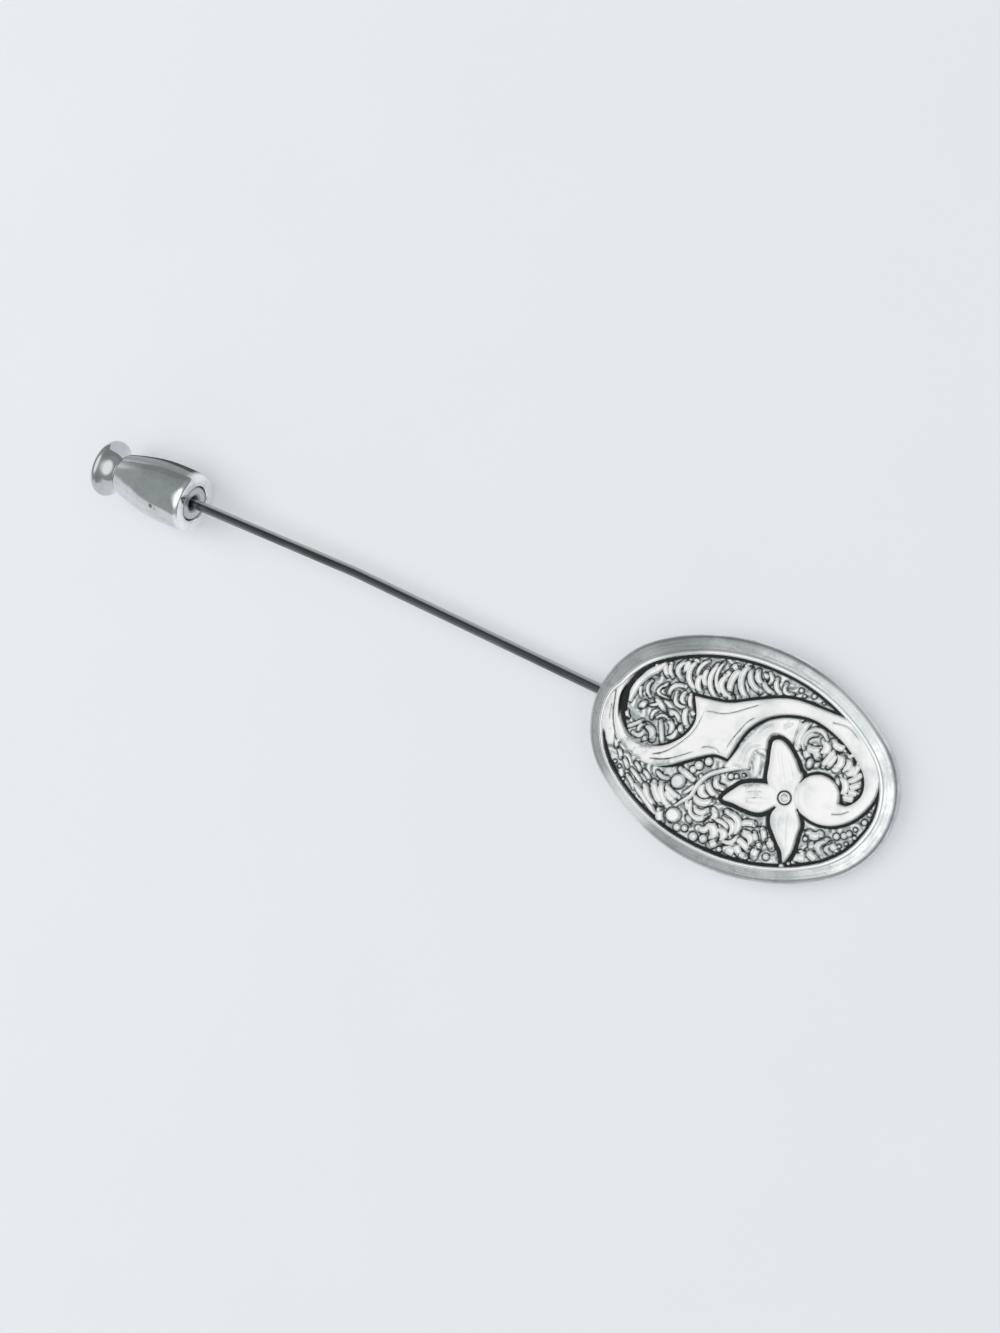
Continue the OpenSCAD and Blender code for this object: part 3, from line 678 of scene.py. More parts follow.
# Ridges: start u and v, end u and v, sideways bow, width
ridges = [
    # the comma's tail
    (-9.2, 4.0, -8.8, 3.3, 0.01, 0.24), (-8.5, 4.3, -8.0, 3.5, -0.1, 0.34),
    (-8.1, 4.5, -7.6, 3.6, -0.13, 0.31), (-7.1, 5.1, -6.8, 3.7, -0.47, 0.39),
    (-6.8, 5.3, -6.8, 4.4, -0.05, 0.35), (-6.3, 5.5, -5.5, 3.4, -0.56, 0.41),
    (-5.4, 5.9, -5.8, 4.5, -0.2, 0.29), (-5.5, 4.7, -5.0, 3.4, -0.26, 0.41),
    (-5.2, 5.3, -4.8, 4.0, -0.2, 0.35), (-4.6, 5.9, -3.7, 3.5, -0.54, 0.37),
    (-4.2, 6.3, -3.5, 3.9, -0.46, 0.25), (-3.4, 5.8, -2.5, 4.0, -0.85, 0.47),
    (-2.8, 6.3, -2.9, 4.4, -0.21, 0.47), (-3.4, 6.2, -3.1, 6.5, 0.01, 0.39),
    (-2.3, 6.9, -1.5, 4.5, -0.52, 0.45), (-2.0, 6.7, -0.7, 5.4, -0.36, 0.41),
    (-1.4, 6.8, -0.8, 6.0, -0.18, 0.41), (-0.7, 6.2, 0.3, 5.7, -0.14, 0.35),
    (-0.5, 7.0, -0.2, 6.3, 0.17, 0.29), (-0.8, 6.8, -0.5, 6.6, -0.01, 0.29),
    (0.2, 6.8, 0.9, 5.9, -0.2, 0.35), (1.0, 6.8, 1.8, 6.2, -0.39, 0.29),
    # the comma's head
    (-9.0, 2.6, -8.6, 1.4, -0.29, 0.27), (-9.6, 1.9, -9.3, 1.1, -0.08, 0.23),
    (-7.7, 2.9, -7.2, 1.9, -0.81, 0.26), (-7.8, 2.4, -7.6, 2.1, -0.14, 0.2),
    (-6.3, 3.3, -7.3, 2.2, -0.39, 0.33), (-6.7, 2.6, -5.6, 1.8, -0.49, 0.3),
    (-6.1, 2.8, -5.8, 2.0, -0.22, 0.33), (-5.6, 2.9, -5.2, 2.0, -0.09, 0.29),
    (-6.7, 1.0, -5.6, 0.6, 0.22, 0.3), (-5.5, 1.8, -4.9, 0.5, -0.17, 0.38),
    (-5.4, 0.2, -5.1, -0.1, 0.01, 0.34), (-5.0, 1.7, -4.7, 1.5, 0.01, 0.29),
    (-7.6, 0.7, -7.8, -0.1, -0.13, 0.26), (-7.0, 0.0, -6.2, -1.5, 0.0, 0.33),
    (-6.4, 0.3, -5.9, -0.5, 0.19, 0.38), (-5.9, -1.0, -5.5, -0.2, -0.16, 0.33),
    (-7.9, -0.8, -7.1, -1.6, 0.25, 0.49), (-8.4, -0.6, -9.3, -1.5, 0.03, 0.27),
    (-8.2, -0.8, -8.4, -1.5, -0.1, 0.27), (-9.9, -0.4, -9.6, -0.8, -0.04, 0.27),
    (-8.7, -1.8, -7.9, -1.2, -0.31, 0.33), (-7.7, -1.9, -7.5, -1.7, 0.01, 0.33),
    (-7.6, 1.5, -8.3, 0.8, 0.12, 0.22), (-7.4, 0.1, -6.5, 0.4, 0.23, 0.22),
    # the meadow below the sweep
    (-3.9, -2.8, -2.7, -3.1, 0.0, 0.35), (-2.9, -4.4, -2.4, -3.5, -0.05, 0.19),
    (-5.5, -3.8, -4.6, -3.9, -0.13, 0.26), (-7.7, -5.1, -6.8, -5.8, 0.06, 0.23),
    (-7.6, -4.5, -6.5, -5.1, 0.04, 0.23), (-6.0, -5.2, -4.8, -6.3, -0.19, 0.36),
    (-5.5, -4.7, -4.3, -5.9, -0.12, 0.4), (-4.9, -4.4, -3.6, -5.9, -0.3, 0.36),
    (-4.3, -4.8, -3.4, -5.3, -0.11, 0.35), (-4.5, -4.5, -3.2, -4.9, -0.06, 0.31),
    (-4.1, -6.5, -3.7, -7.2, -0.11, 0.43), (-2.1, -4.3, -0.6, -4.0, -0.34, 0.4),
    (-1.7, -5.1, -0.6, -4.8, -0.3, 0.33), (-1.4, -5.7, -0.6, -5.4, -0.17, 0.31),
    (-1.8, -3.1, -1.0, -3.9, -0.36, 0.43), (-1.5, -2.8, -0.5, -3.5, -0.15, 0.36),
    (-1.0, -2.2, -0.2, -2.7, -0.32, 0.36), (-0.2, -4.6, 0.0, -5.3, 0.23, 0.35),
    (0.9, -4.3, 2.2, -5.6, 0.59, 0.4), (0.9, -4.8, 1.8, -5.9, 0.47, 0.35),
    (0.3, -5.2, 1.5, -5.4, 0.12, 0.26), (0.8, -5.7, 1.4, -6.5, 0.31, 0.43),
    (-0.1, -5.7, 0.7, -6.7, 0.28, 0.5), (-0.7, -6.4, 0.0, -5.9, -0.24, 0.36),
    (0.7, -7.2, 1.1, -6.8, 0.02, 0.43), (2.0, -6.9, 2.7, -6.9, -0.01, 0.49),
    (1.4, -6.5, 2.4, -5.6, -0.33, 0.26), (2.8, -5.2, 3.6, -5.8, 0.29, 0.43),
    (2.5, -5.8, 3.6, -6.2, 0.03, 0.38), (2.6, -6.3, 3.1, -6.8, -0.04, 0.4),
    (3.5, -4.8, 3.9, -5.3, 0.01, 0.26), (4.0, -4.3, 4.4, -4.9, 0.03, 0.31),
    (4.2, -5.9, 4.2, -6.5, -0.04, 0.43), (4.8, -4.9, 5.2, -5.3, 0.03, 0.36),
    (4.1, -5.4, 4.3, -5.6, 0.0, 0.26), (2.3, -4.6, 3.2, -4.2, 0.09, 0.35),
    (3.1, -6.8, 3.6, -6.8, -0.01, 0.35), (-8.5, -4.0, -8.0, -4.5, 0.05, 0.24),
    (-9.2, -3.5, -8.8, -4.0, 0.05, 0.24), (-9.8, -2.9, -9.5, -3.4, 0.05, 0.22),
    (-6.6, -4.2, -5.9, -4.6, 0.05, 0.24), (-7.5, -3.9, -6.9, -4.3, 0.05, 0.22),
    # round the curl, up to the volute
    (3.2, 4.6, 3.1, 3.8, -0.01, 0.45), (3.8, 4.8, 3.8, 2.7, -0.15, 0.4), (4.3, 3.0, 4.7, 4.2, 0.34, 0.31),
    (5.6, 4.0, 5.8, 3.0, 0.27, 0.45), (4.5, 3.0, 5.5, 3.2, -0.12, 0.4), (4.5, 2.7, 4.9, 2.3, 0.0, 0.35),
    (5.2, 3.0, 5.6, 2.6, 0.01, 0.38), (6.2, 2.2, 6.6, 3.6, 0.03, 0.31), (6.6, 2.3, 6.8, 3.4, -0.03, 0.28),
    (7.2, 2.4, 7.1, 3.5, -0.24, 0.42), (6.2, 4.2, 7.2, 4.1, -0.14, 0.38), (7.9, 2.6, 7.9, 3.5, -0.13, 0.35),
    (7.8, 3.9, 8.0, 3.7, 0.01, 0.38), (8.2, 2.3, 8.4, 3.2, -0.16, 0.35), (8.6, 2.4, 8.7, 3.4, -0.03, 0.31),
    (8.5, 1.9, 9.2, 2.9, -0.09, 0.31), (8.8, 1.5, 9.4, 2.1, -0.01, 0.35), (8.8, 1.2, 9.5, 1.3, 0.02, 0.31),
    (8.6, 0.7, 9.4, 0.9, -0.04, 0.42), (7.9, 2.0, 8.5, 0.8, 0.29, 0.4),
    # lower side of the flower end
    (7.4, -3.0, 8.2, -2.7, -0.18, 0.43), (9.1, -4.1, 8.9, -2.9, 0.62, 0.37),
    (7.9, -4.3, 8.7, -4.6, -0.05, 0.4), (7.9, -3.7, 8.1, -3.9, -0.01, 0.36),
    (7.3, -5.1, 7.9, -4.9, 0.01, 0.47), (9.5, -3.7, 9.2, -3.1, 0.3, 0.26),
    (9.3, -3.0, 9.8, -3.2, -0.07, 0.36), (7.4, -4.6, 7.7, -4.6, -0.03, 0.28),
]
# Grains: middle u and v, diameter
grains = [
    (2.3, 6.8, 0.37), (3.4, 6.8, 0.37), (2.7, 6.5, 0.25), (4.3, 6.6, 0.2), (-3.0, -2.4, 0.57),
    (-2.7, -1.9, 0.73), (-2.1, -1.3, 0.69), (-2.2, -2.6, 0.35), (0.0, -1.6, 0.49), (0.4, -1.4, 0.36),
    (-0.8, -7.2, 0.73), (0.0, -7.0, 0.69), (1.5, -7.2, 0.43), (-2.3, -7.1, 0.61), (-1.7, -6.9, 0.52),
    (5.1, -6.1, 0.54), (-9.1, -4.5, 0.26), (-8.6, -4.7, 0.26), (-5.9, -4.8, 0.23), (8.6, 3.5, 0.3),
    (7.3, -3.5, 0.37), (9.4, -2.3, 0.51), (9.9, -2.0, 0.5), (10.2, -1.7, 0.47), (10.5, -1.2, 0.3),
    (10.7, -1.8, 0.3), (10.3, -2.5, 0.28), (9.9, -2.9, 0.28), (10.9, -0.4, 0.44), (11.0, 0.3, 0.34),
    (6.5, -6.25, 0.47), (6.9, -5.8, 0.3), (-10.6, -2.3, 0.26), (-11.3, -0.4, 0.22), (0.9, -1.1, 0.26),
    (-7.9, -5.5, 0.24),
]
relief = {
    "cell": 0.062, "halfLength": 11.6, "halfWidth": 7.8, "underRim": 0.20,
    "moat": 0.25, "flowerMoat": 0.36, "moatSide": 0.12,     # how far the ground keeps off the walls
    "deepMoat": ((-10.7, 1.2), 3.4, 0.36),      # middle, reach and extra width where it is widest; the dark floor it bares stands in for the shade of the deep wall there
    "softEdge": ((-7.6, -3.9), 3.6, 0.22),      # the same where the ground runs up to the band
    "ground": 0.105, "meadowWorn": 0.12, "mottle": 0.7,
    # a dark trench runs round what stands on the ground
    "trench": 0.12, "trenchDepth": 0.85, "beside": 0.03, "besideRidge": 0.01,
    "swell": 1.30, "meadowSwell": 1.62,         # wear has spread the ridges, most of all in the meadow
    "leafGap": 0.12,
    # the small leaf ribs of the ground run in arcs about these middles
    "curls": [(-7.3, 0.6), (-5.9, 2.6), (-9.2, -5.6), (-5.4, -3.4), (-1.9, -5.4),
              (0.3, -5.6), (3.4, -3.9), (0.8, -0.6), (5.0, 3.4), (7.3, 1.9), (8.6, -5.2), (10.4, -1.4)],
    "curlPitch": 0.50, "curlHeight": 0.055, "curlWander": 0.35,
    "seed": 7, "waves": 14, "waveSpread": 3.2,
}
comma = np.vstack([smoothRows(scroll["commaHead"]), smoothRows(scroll["commaTail"])])
ridgeMiddles = np.array([((row[0] + row[2]) / 2, (row[1] + row[3]) / 2) for row in ridges])
swells = np.where(depthIn(ridgeMiddles, comma) > 0, relief["swell"], relief["meadowSwell"])
ridges = [(*row[:5], row[5] * swell) for row, swell in zip(ridges, swells)]


def cutAlong(points, line, width, fade):
    # 1 along a smooth line, falling to 0 at its width and towards its ends
    away, along = distanceTo(points, smoothRows(line, 4))
    return ramp(1 - away / width) * ramp(np.minimum(along, 1 - along) * fade)


def trenchAt(away, edge):
    return ramp(1 - np.abs(away - edge) / relief["trench"])


def raised(into, height, shape):
    # a raised form with a sloping edge whose top is rolled down
    drop = shape["rolled"] * np.exp(-(np.maximum(into, 0) / shape["rollReach"]) ** 2)
    return height * rising(into, shape["edge"]) - drop * (into > shape["rollFrom"])


def carveBand(points):
    # the band that is left between the comma and the meadow, with its engraved lines
    walls = [smoothRows(scroll[key]) for key in ("volute", "arch", "sweep")]
    into = -np.maximum(depthIn(points, comma), depthIn(points, np.vstack([*walls, scroll["openEnd"]])))
    level, soot = raised(into, head["band"], scroll), np.zeros(len(points))
    for line in scroll["lines"]:
        cut = cutAlong(points, line, scroll["lineWidth"], scroll["lineFade"])
        level -= scroll["lineDepth"] * cut
        soot = np.maximum(soot, scroll["lineSoot"] * cut)
    return level, soot, into


def carveFlower(points):
    # three veined petals round an eye with a dark ring
    petals = [depthIn(points, smoothRows(petal, 4, closed=True)) for petal in flower["petals"]]
    into = np.maximum.reduce([*petals, flower["core"] - distanceFrom(points, flower["coreAt"])])
    level, soot = raised(into, head["petal"], flower), np.zeros(len(points))
    for line in flower["veins"]:
        cut = cutAlong(points, line, flower["veinWidth"], flower["veinFade"]) * (into > flower["veinFrom"])
        level -= flower["veinDepth"] * cut
        soot = np.maximum(soot, flower["veinSoot"] * cut)
    fromEye = distanceFrom(points, flower["eye"])
    ring = ramp(1 - np.abs(fromEye - flower["ringRadius"]) / flower["ringWidth"])
    level -= flower["ringDepth"] * ring
    level += flower["eyeRise"] * ramp(1 - fromEye / flower["eyeRadius"])
    eyeSoot = flower["eyeSoot"] * ramp((flower["eyeRadius"] - fromEye) / flower["eyeEdge"])
    return level, np.maximum.reduce([soot, flower["ringSoot"] * ring, eyeSoot]), into


def carveLeaves(points):
    # leaves, lobes and stems on the ground, and the trenches beside them and beside ridges and grains
    small, trench = np.zeros(len(points)), np.zeros(len(points))
    for share, outline in (leaves["main"], leaves["tongue"], leaves["strip"]):
        into = depthIn(points, smoothRows(outline, 3, closed=True))
        small = np.maximum(small, head["petal"] * share * rising(into, leaves["edge"]))
    for line in leaves["cuts"]:
        cut = cutAlong(points, line, leaves["cutWidth"], leaves["cutFade"])
        small -= leaves["cutDepth"] * cut * (small > 0.1)
    for midU, midV, length, width, turn, share in lobes:
        c, s = math.cos(math.radians(turn)), math.sin(math.radians(turn))
        du, dv = (points - (midU, midV)).T
        across = np.hypot((du * c + dv * s) / (length / 2), (dv * c - du * s) / (width / 2))
        small = np.maximum(small, head["petal"] * share * ramp((1 - across) * width / leaves["lobeEdge"]))
        trench = np.maximum(trench, ramp(1 - np.abs(across - 1.05) * width / leaves["lobeTrench"]))
    for width, share, line in stems:
        away, along = distanceTo(points, smoothRows(line, 4))
        narrow = 1 - ramp(np.minimum(along, 1 - along) * 5)
        half = width / 2 * (1 - (1 - leaves["stemEnd"]) * narrow)
        small = np.maximum(small, head["petal"] * share * np.sqrt(np.clip(1 - (away / half) ** 3, 0, 1)))
        trench = np.maximum(trench, trenchAt(away, half + relief["beside"]))
    for midU, midV, size in grains:
        away = distanceFrom(points, (midU, midV))
        trench = np.maximum(trench, trenchAt(away, size / 2 + relief["beside"]))
    share = np.linspace(-0.5, 0.5, 7)[:, None]
    for startU, startV, endU, endV, bow, width in ridges:
        start, end = np.array((startU, startV)), np.array((endU, endV))
        left = np.array((startV - endV, endU - startU)) / math.dist(start, end)
        line = (start + end) / 2 + (end - start) * share + left * bow * (1 - 4 * share ** 2)
        away, _ = distanceTo(points, line)
        trench = np.maximum(trench, trenchAt(away, width / 2 + relief["besideRidge"]))
    return small, trench


def carveGround(points, room, inComma):
    # the ground lies a little over the deep floor, which shows as a dark moat along every wall
    waves = np.random.default_rng(relief["seed"]).normal(0, relief["waveSpread"], (relief["waves"], 2))
    mottle = sum(np.sin(points @ wave + k) for k, wave in enumerate(waves)) / relief["waves"]
    toMiddle = np.minimum.reduce([distanceFrom(points, middle) for middle in relief["curls"]])
    curls = np.cos(2 * math.pi * (toMiddle + relief["curlWander"] * mottle) / relief["curlPitch"])
    broken = ramp(0.5 + 2.2 * np.sin(points @ waves[3] * 1.1 + 2) + 0.8 * np.sin(points @ waves[5] * 1.3))
    worn = 1 + relief["meadowWorn"] * ~inComma
    ground = relief["ground"] * (worn + relief["mottle"] * mottle) + relief["curlHeight"] * curls * broken
    return ground * rising(room - relief["moat"], relief["moatSide"])


def carveFace(points):
    # heights over the sunk floor, soot with patches of painted shade, and how far inside the lip each point
    # lies
    band, bandSoot, intoBand = carveBand(points)
    petals, petalSoot, intoFlower = carveFlower(points)
    fromBoss = distanceFrom(points, boss["middle"])
    dome = boss["dome"] - np.sqrt(boss["dome"] ** 2 - np.minimum(fromBoss, 3) ** 2)
    bossTop = (head["boss"] - dome) * rising(boss["radius"] - fromBoss, boss["edge"])
    # room is how far the nearest wall is
    fromLip = ovalInset(points) - lipInset(points)
    room = np.minimum.reduce([-intoBand, fromBoss - boss["radius"], fromLip,
                              -intoFlower - relief["flowerMoat"] + relief["moat"]])
    inComma = depthIn(points, comma) > 0
    middle, reach, extra = relief["deepMoat"]
    room = room - extra * inComma * fading(distanceFrom(points, middle), reach, 1.6)
    middle, reach, extra = relief["softEdge"]
    room = room + extra * (fromLip > 0.5) * fading(distanceFrom(points, middle), reach, 1.5)
    small, trench = carveLeaves(points)
    clear = rising(room - relief["leafGap"], 0.10)
    besideStrip = (points[:, 0] < -10.6) & (points[:, 1] < 1.0)     # there the leaves may reach the band
    clear = np.maximum(clear, rising(-intoBand - 0.10, 0.08) * besideStrip)
    ground = carveGround(points, room, inComma) * (1 - relief["trenchDepth"] * trench)
    total = np.maximum.reduce([band, petals, bossTop, small * clear, ground])
    soot = np.maximum(bandSoot, petalSoot)
    # painted shade: darker patches on the high silver, added to the soot
    for midU, midV, reach, strength in scroll["dullAndShade"]:
        near = fading(distanceFrom(points, (midU, midV)), reach, 1.5)
        soot = np.maximum(soot, strength * near * ramp((total - scroll["paintedShadeFrom"]) / 0.08))
    # a fine dark line round the boss, where the flower leaves it open
    bossLine = ramp(1 - np.abs(fromBoss - boss["radius"] - 0.02) / boss["lineWidth"]) * (intoFlower > -0.1)
    bossLine *= (fromBoss < boss["radius"] + 0.12) & (points[:, 0] < boss["middle"][0] + 0.2)
    return total - boss["lineDepth"] * bossLine, np.maximum(soot, boss["lineSoot"] * bossLine), fromLip


def squaresOf(keep):
    # the squares of a grid whose corners are all kept, and the points that they use
    squares = keep[:-1, :-1] & keep[1:, :-1] & keep[1:, 1:] & keep[:-1, 1:]
    used = np.zeros(keep.shape, bool)
    for du in (0, 1):
        for dv in (0, 1):
            used[du:keep.shape[0] - 1 + du, dv:keep.shape[1] - 1 + dv] |= squares
    ids = np.flatnonzero(used)
    index = np.full(keep.size, -1)
    index[ids] = np.arange(len(ids))
    index = index.reshape(keep.shape)
    corners = (index[:-1, :-1], index[1:, :-1], index[1:, 1:], index[:-1, 1:])
    return ids, np.stack([corner[squares] for corner in corners], 1)


def faceMesh():
    cell, halfLength, halfWidth = relief["cell"], relief["halfLength"], relief["halfWidth"]
    gridU, gridV = np.meshgrid(np.arange(-halfLength, halfLength, cell),
                               np.arange(-halfWidth, halfWidth, cell), indexing="ij")
    points = np.stack([gridU.ravel(), gridV.ravel()], 1)
    height, soot, fromLip = carveFace(points)
    # the inside of the rim is a step down to the floor, which is hidden under the rim
    ids, quads = squaresOf((fromLip > -relief["underRim"]).reshape(gridU.shape))
    top = np.column_stack([points[ids], head["floor"] + height[ids]])
    # close the relief into a solid plate: a skirt round its edge and a flat back
    edges = np.vstack([quads[:, [k, (k + 1) % 4]] for k in range(4)])
    keys = {(a, b) for a, b in edges.tolist()}
    border = [(a, b) for a, b in keys if (b, a) not in keys]
    ring = sorted({a for a, b in border} | {b for a, b in border})
    below = {a: len(top) + k for k, a in enumerate(ring)}
    back = head["back"] + 0.01
    bottom = top[ring].copy()
    bottom[:, 2] = back
    verts = np.vstack([top, bottom, [[0, 0, back]]])
    hub = len(verts) - 1
    faces = quads.tolist() + [(b, a, below[a], below[b]) for a, b in border]
    faces += [(below[b], below[a], hub) for a, b in border]
    mesh = newMesh("headFace", verts.tolist(), [], faces)
    setOnPoints(mesh, "soot", np.concatenate([soot[ids], np.zeros(len(ring) + 1)]))
    return mesh


keepOnPin("headFace", faceMesh(), reliefSilver)


def ridgeHost():
    # one point for every ridge and grain, with what shapes it
    rows = [(*row, 1.0) for row in ridges]
    rows += [(u, v - size / 2, u, v + size / 2, 0.0, size, 0.0) for u, v, size in grains]
    host = newMesh("ridge places", [((r[0] + r[2]) / 2, (r[1] + r[3]) / 2, head["floor"]) for r in rows])
    for name, values in {
        "turn": [math.atan2(r[3] - r[1], r[2] - r[0]) - math.pi / 2 for r in rows],
        "span": [math.hypot(r[2] - r[0], r[3] - r[1]) for r in rows],
        "bow": [-r[4] for r in rows],
        "girth": [r[5] for r in rows],
        "blunt": [r[6] for r in rows],
        "rise": [2 * head["ridge"] * (0.88 + 0.30 * r[5]) for r in rows],
    }.items():
        setOnPoints(host, name, values)
    return host


def ridgeTree():
    # one rounded bar on every place, then stretched, bowed and turned by what the place says
    graph, entry = newTree("floor ridges", [("Sides", "Int"), ("Rings", "Int")])
    bar = graph.add("GeometryNodeMeshUVSphere", None,
                    {"Segments": entry["Sides"], "Rings": entry["Rings"], "Radius": 0.5})
    upright = graph.add("GeometryNodeTransform", None,
                        {"Geometry": bar, "Rotation": (math.pi / 2, 0.0, 0.0)})
    spot = graph.add("GeometryNodeInputPosition")
    marked = graph.keepNamed(upright, "local", spot)
    placed = graph.add("GeometryNodeInstanceOnPoints", None,
                       {"Points": entry["Geometry"], "Instance": marked})
    loose = graph.add("GeometryNodeRealizeInstances", None, {"Geometry": placed})
    local = graph.named("local", "FLOAT_VECTOR")
    across, along, up = graph.split(local)
    reach = along * along * 4
    # keeps a ridge full up to its blunt ends, and leaves a grain round
    full = 1 + (((1 + reach) * (1 + reach * reach)) ** 0.5 - 1) * graph.named("blunt")
    bowed = across * full * graph.named("girth") + graph.named("bow") * (1 - reach)
    shaped = graph.join(bowed, along * graph.named("span"), up * full * graph.named("rise"))
    turned = graph.add("ShaderNodeVectorRotate", {"rotation_type": "Z_AXIS"},
                       {"Vector": shaped, "Angle": graph.named("turn")})
    target = graph.vector("ADD", graph.vector("SUBTRACT", spot, local), turned)
    return closeTree(graph, graph.move(loose, target), entry)


ridgeMesh = grown(ridgeTree(), ridgeHost(), {"Sides": 10, "Rings": 12, "Material": reliefSilver})
keepOnPin("headRidges", ridgeMesh, reliefSilver)

rim = {
    # inset from the edge and height, from the hidden root round the outside to the inner wall
    "section": [(2.2, -1.7), (0.34, -1.7), (0.22, -1.67), (0.08, -1.58), (0.0, -1.44), (0.0, -0.8),
                (0.02, -0.66), (0.07, -0.5), (0.16, -0.39), (0.28, -0.32), (0.43, -0.27), (0.62, -0.215),
                (0.82, -0.16), (0.96, -0.12), (1.04, -0.095), (1.09, -0.085), (1.12, -0.07), (1.15, -0.04),
                (1.21, -0.01), (1.28, 0.0), (1.35, 0.0), (1.405, -0.015), (1.44, -0.06), (1.455, -0.3),
                (1.46, -0.62), (2.2, -0.7)],
    "shoulder": 0.43, "lip": 1.44, "spacing": 0.14,
}


def loopMesh(name, points):
    count = len(points)
    return newMesh(name, [tuple(p) for p in points], [(i, (i + 1) % count) for i in range(count)])


def rimTree():
    # the section is swept round the oval, and its slope is stretched to where the lip lies there
    graph, entry = newTree("rim sweep", [("Section", "Object"), ("Shoulder", "Float")])
    section = graph.add("GeometryNodeObjectInfo", None, {"Object": entry["Section"]}, 4)
    path, profile = (graph.add("GeometryNodeMeshToCurve", None, {"Mesh": mesh})
                     for mesh in (entry["Geometry"], section))
    swept = graph.add("GeometryNodeCurveToMesh", None, {"Curve": path, "Profile Curve": profile})
    inset = graph.named("inset")
    pastShoulder = graph.maths("MAXIMUM", inset - entry["Shoulder"], 0.0)
    reach = inset + pastShoulder * (graph.named("stretch") - 1)
    inward = graph.add("ShaderNodeVectorMath", {"operation": "SCALE"},
                       {0: graph.named("outward", "FLOAT_VECTOR"), "Scale": 0 - reach})
    flat = graph.vector("ADD", graph.named("place", "FLOAT_VECTOR"), inward)
    target = graph.vector("ADD", flat, graph.join(0.0, 0.0, graph.named("level")))
    return closeTree(graph, graph.move(swept, target), entry)


def rimMesh():
    path = ovalPath(rim["spacing"])
    angles = np.radians(facing(path))
    places = np.column_stack([path, 0 * angles])
    outward = np.column_stack([np.cos(angles), np.sin(angles), 0 * angles])
    pathMesh = loopMesh("rim path", places)
    setOnPoints(pathMesh, "outward", outward, "FLOAT_VECTOR")
    setOnPoints(pathMesh, "stretch", (lipInset(path) - rim["shoulder"]) / (rim["lip"] - rim["shoulder"]))
    setOnPoints(pathMesh, "place", places, "FLOAT_VECTOR")
    insets, levels = np.array(rim["section"]).T
    section = loopMesh("rim section", np.column_stack([insets, levels, 0 * insets]))
    setOnPoints(section, "inset", insets)
    setOnPoints(section, "level", levels)
    host = addObject("rim section", section)
    mesh = grown(rimTree(), pathMesh, {"Section": host, "Shoulder": rim["shoulder"], "Material": rimSilver})
    bpy.data.objects.remove(host)
    return mesh


keepOnPin("headRim", rimMesh(), rimSilver)


def wirePath():
    # place and radius along the wire, through its slight bend to the point
    bendAt, length, taper = wire["bendAt"], wire["length"], wire["length"] - wire["taper"]
    neck = length - wire["point"]
    stations = np.concatenate([
        np.linspace(wire["start"], bendAt, 40), bendAt + bendLength * np.linspace(0.1, 1.0, 8),
        np.linspace(bendAt + bendLength + 0.5, taper, 18), np.linspace(taper + 0.5, neck, 6),
        np.linspace(neck + 0.4, length, 6)])
    curve = bpy.data.curves.new("wire path", "CURVE")
    curve.dimensions = "3D"
    spline = curve.splines.new("POLY")
    spline.points.add(len(stations) - 1)
    for point, s in zip(spline.points, stations.tolist()):
        if s <= bendAt:
            spot = wireMatrix @ Vector((0, 0, s))
        elif s < bendAt + bendLength:
            turn = (s - bendAt) / wire["bendRadius"]
            spot = wireMatrix @ Vector((0, -wire["bendRadius"] * (1 - math.cos(turn)),
                                        bendAt + wire["bendRadius"] * math.sin(turn)))
        else:
            spot = pastBend @ Vector((0, 0, s))
        radius = wire["radius"] * (1 - (1 - wire["neck"]) * max(s - taper, 0) / (neck - taper))
        if s > neck:
            radius = wire["radius"] * wire["neck"] * (1 - (s - neck) / wire["point"]) + wire["tip"]
        point.co = (*spot, 1.0)
        point.radius = radius
    return curve


def wireTree():
    graph, entry = newTree("wire along its path", [("Sides", "Int")])
    ring = graph.add("GeometryNodeCurvePrimitiveCircle", None,
                     {"Resolution": entry["Sides"], "Radius": 1.0})
    swept = graph.add("GeometryNodeCurveToMesh", None,
                      {"Curve": entry["Geometry"], "Profile Curve": ring, "Fill Caps": True,
                       "Scale": graph.add("GeometryNodeInputRadius")})
    return closeTree(graph, swept, entry)


wireMesh = grown(wireTree(), wirePath(), {"Sides": 28, "Material": wireSteel})
pinWire = keepOnPin("pinWire", wireMesh, wireSteel, Matrix.Identity(4))
setOnPoints(pinWire.data, "side", [vertex.normal.y for vertex in pinWire.data.vertices])

solder = {"at": (-0.8, 0.0), "radius": 2.3, "height": 0.72, "rings": 14, "sides": 56, "root": 0.3}


def solderMesh():
    # a low mound that flows out to nothing on the head's back
    rings, sides = solder["rings"], solder["sides"]
    midX, midY = solder["at"]
    verts, faces = [], []
    for i in range(rings + 1):
        share = i / rings
        drop = solder["height"] * (1 - ramp(share)) + 0.02 * (share < 0.98)
        for k in range(sides):
            angle = 2 * math.pi * k / sides
            wobble = 1 + 0.05 * math.sin(3 * angle + 0.7) + 0.03 * math.sin(5 * angle)
            reach = solder["radius"] * share * wobble
            verts.append((midX + reach * math.cos(angle), midY + reach * math.sin(angle),
                          head["back"] - drop))
    for x, y, _ in verts[rings * sides:]:
        verts.append((x * 0.98 + midX * 0.02, y * 0.98, head["back"] + solder["root"]))
    for i in range(rings + 1):
        for k in range(sides):
            n = (k + 1) % sides
            faces.append((i * sides + k, i * sides + n, (i + 1) * sides + n, (i + 1) * sides + k))
    faces.append(tuple(range(len(verts) - sides, len(verts))))
    return newMesh("solderMound", verts, [], faces)


keepOnPin("solderMound", solderMesh(), rimSilver)

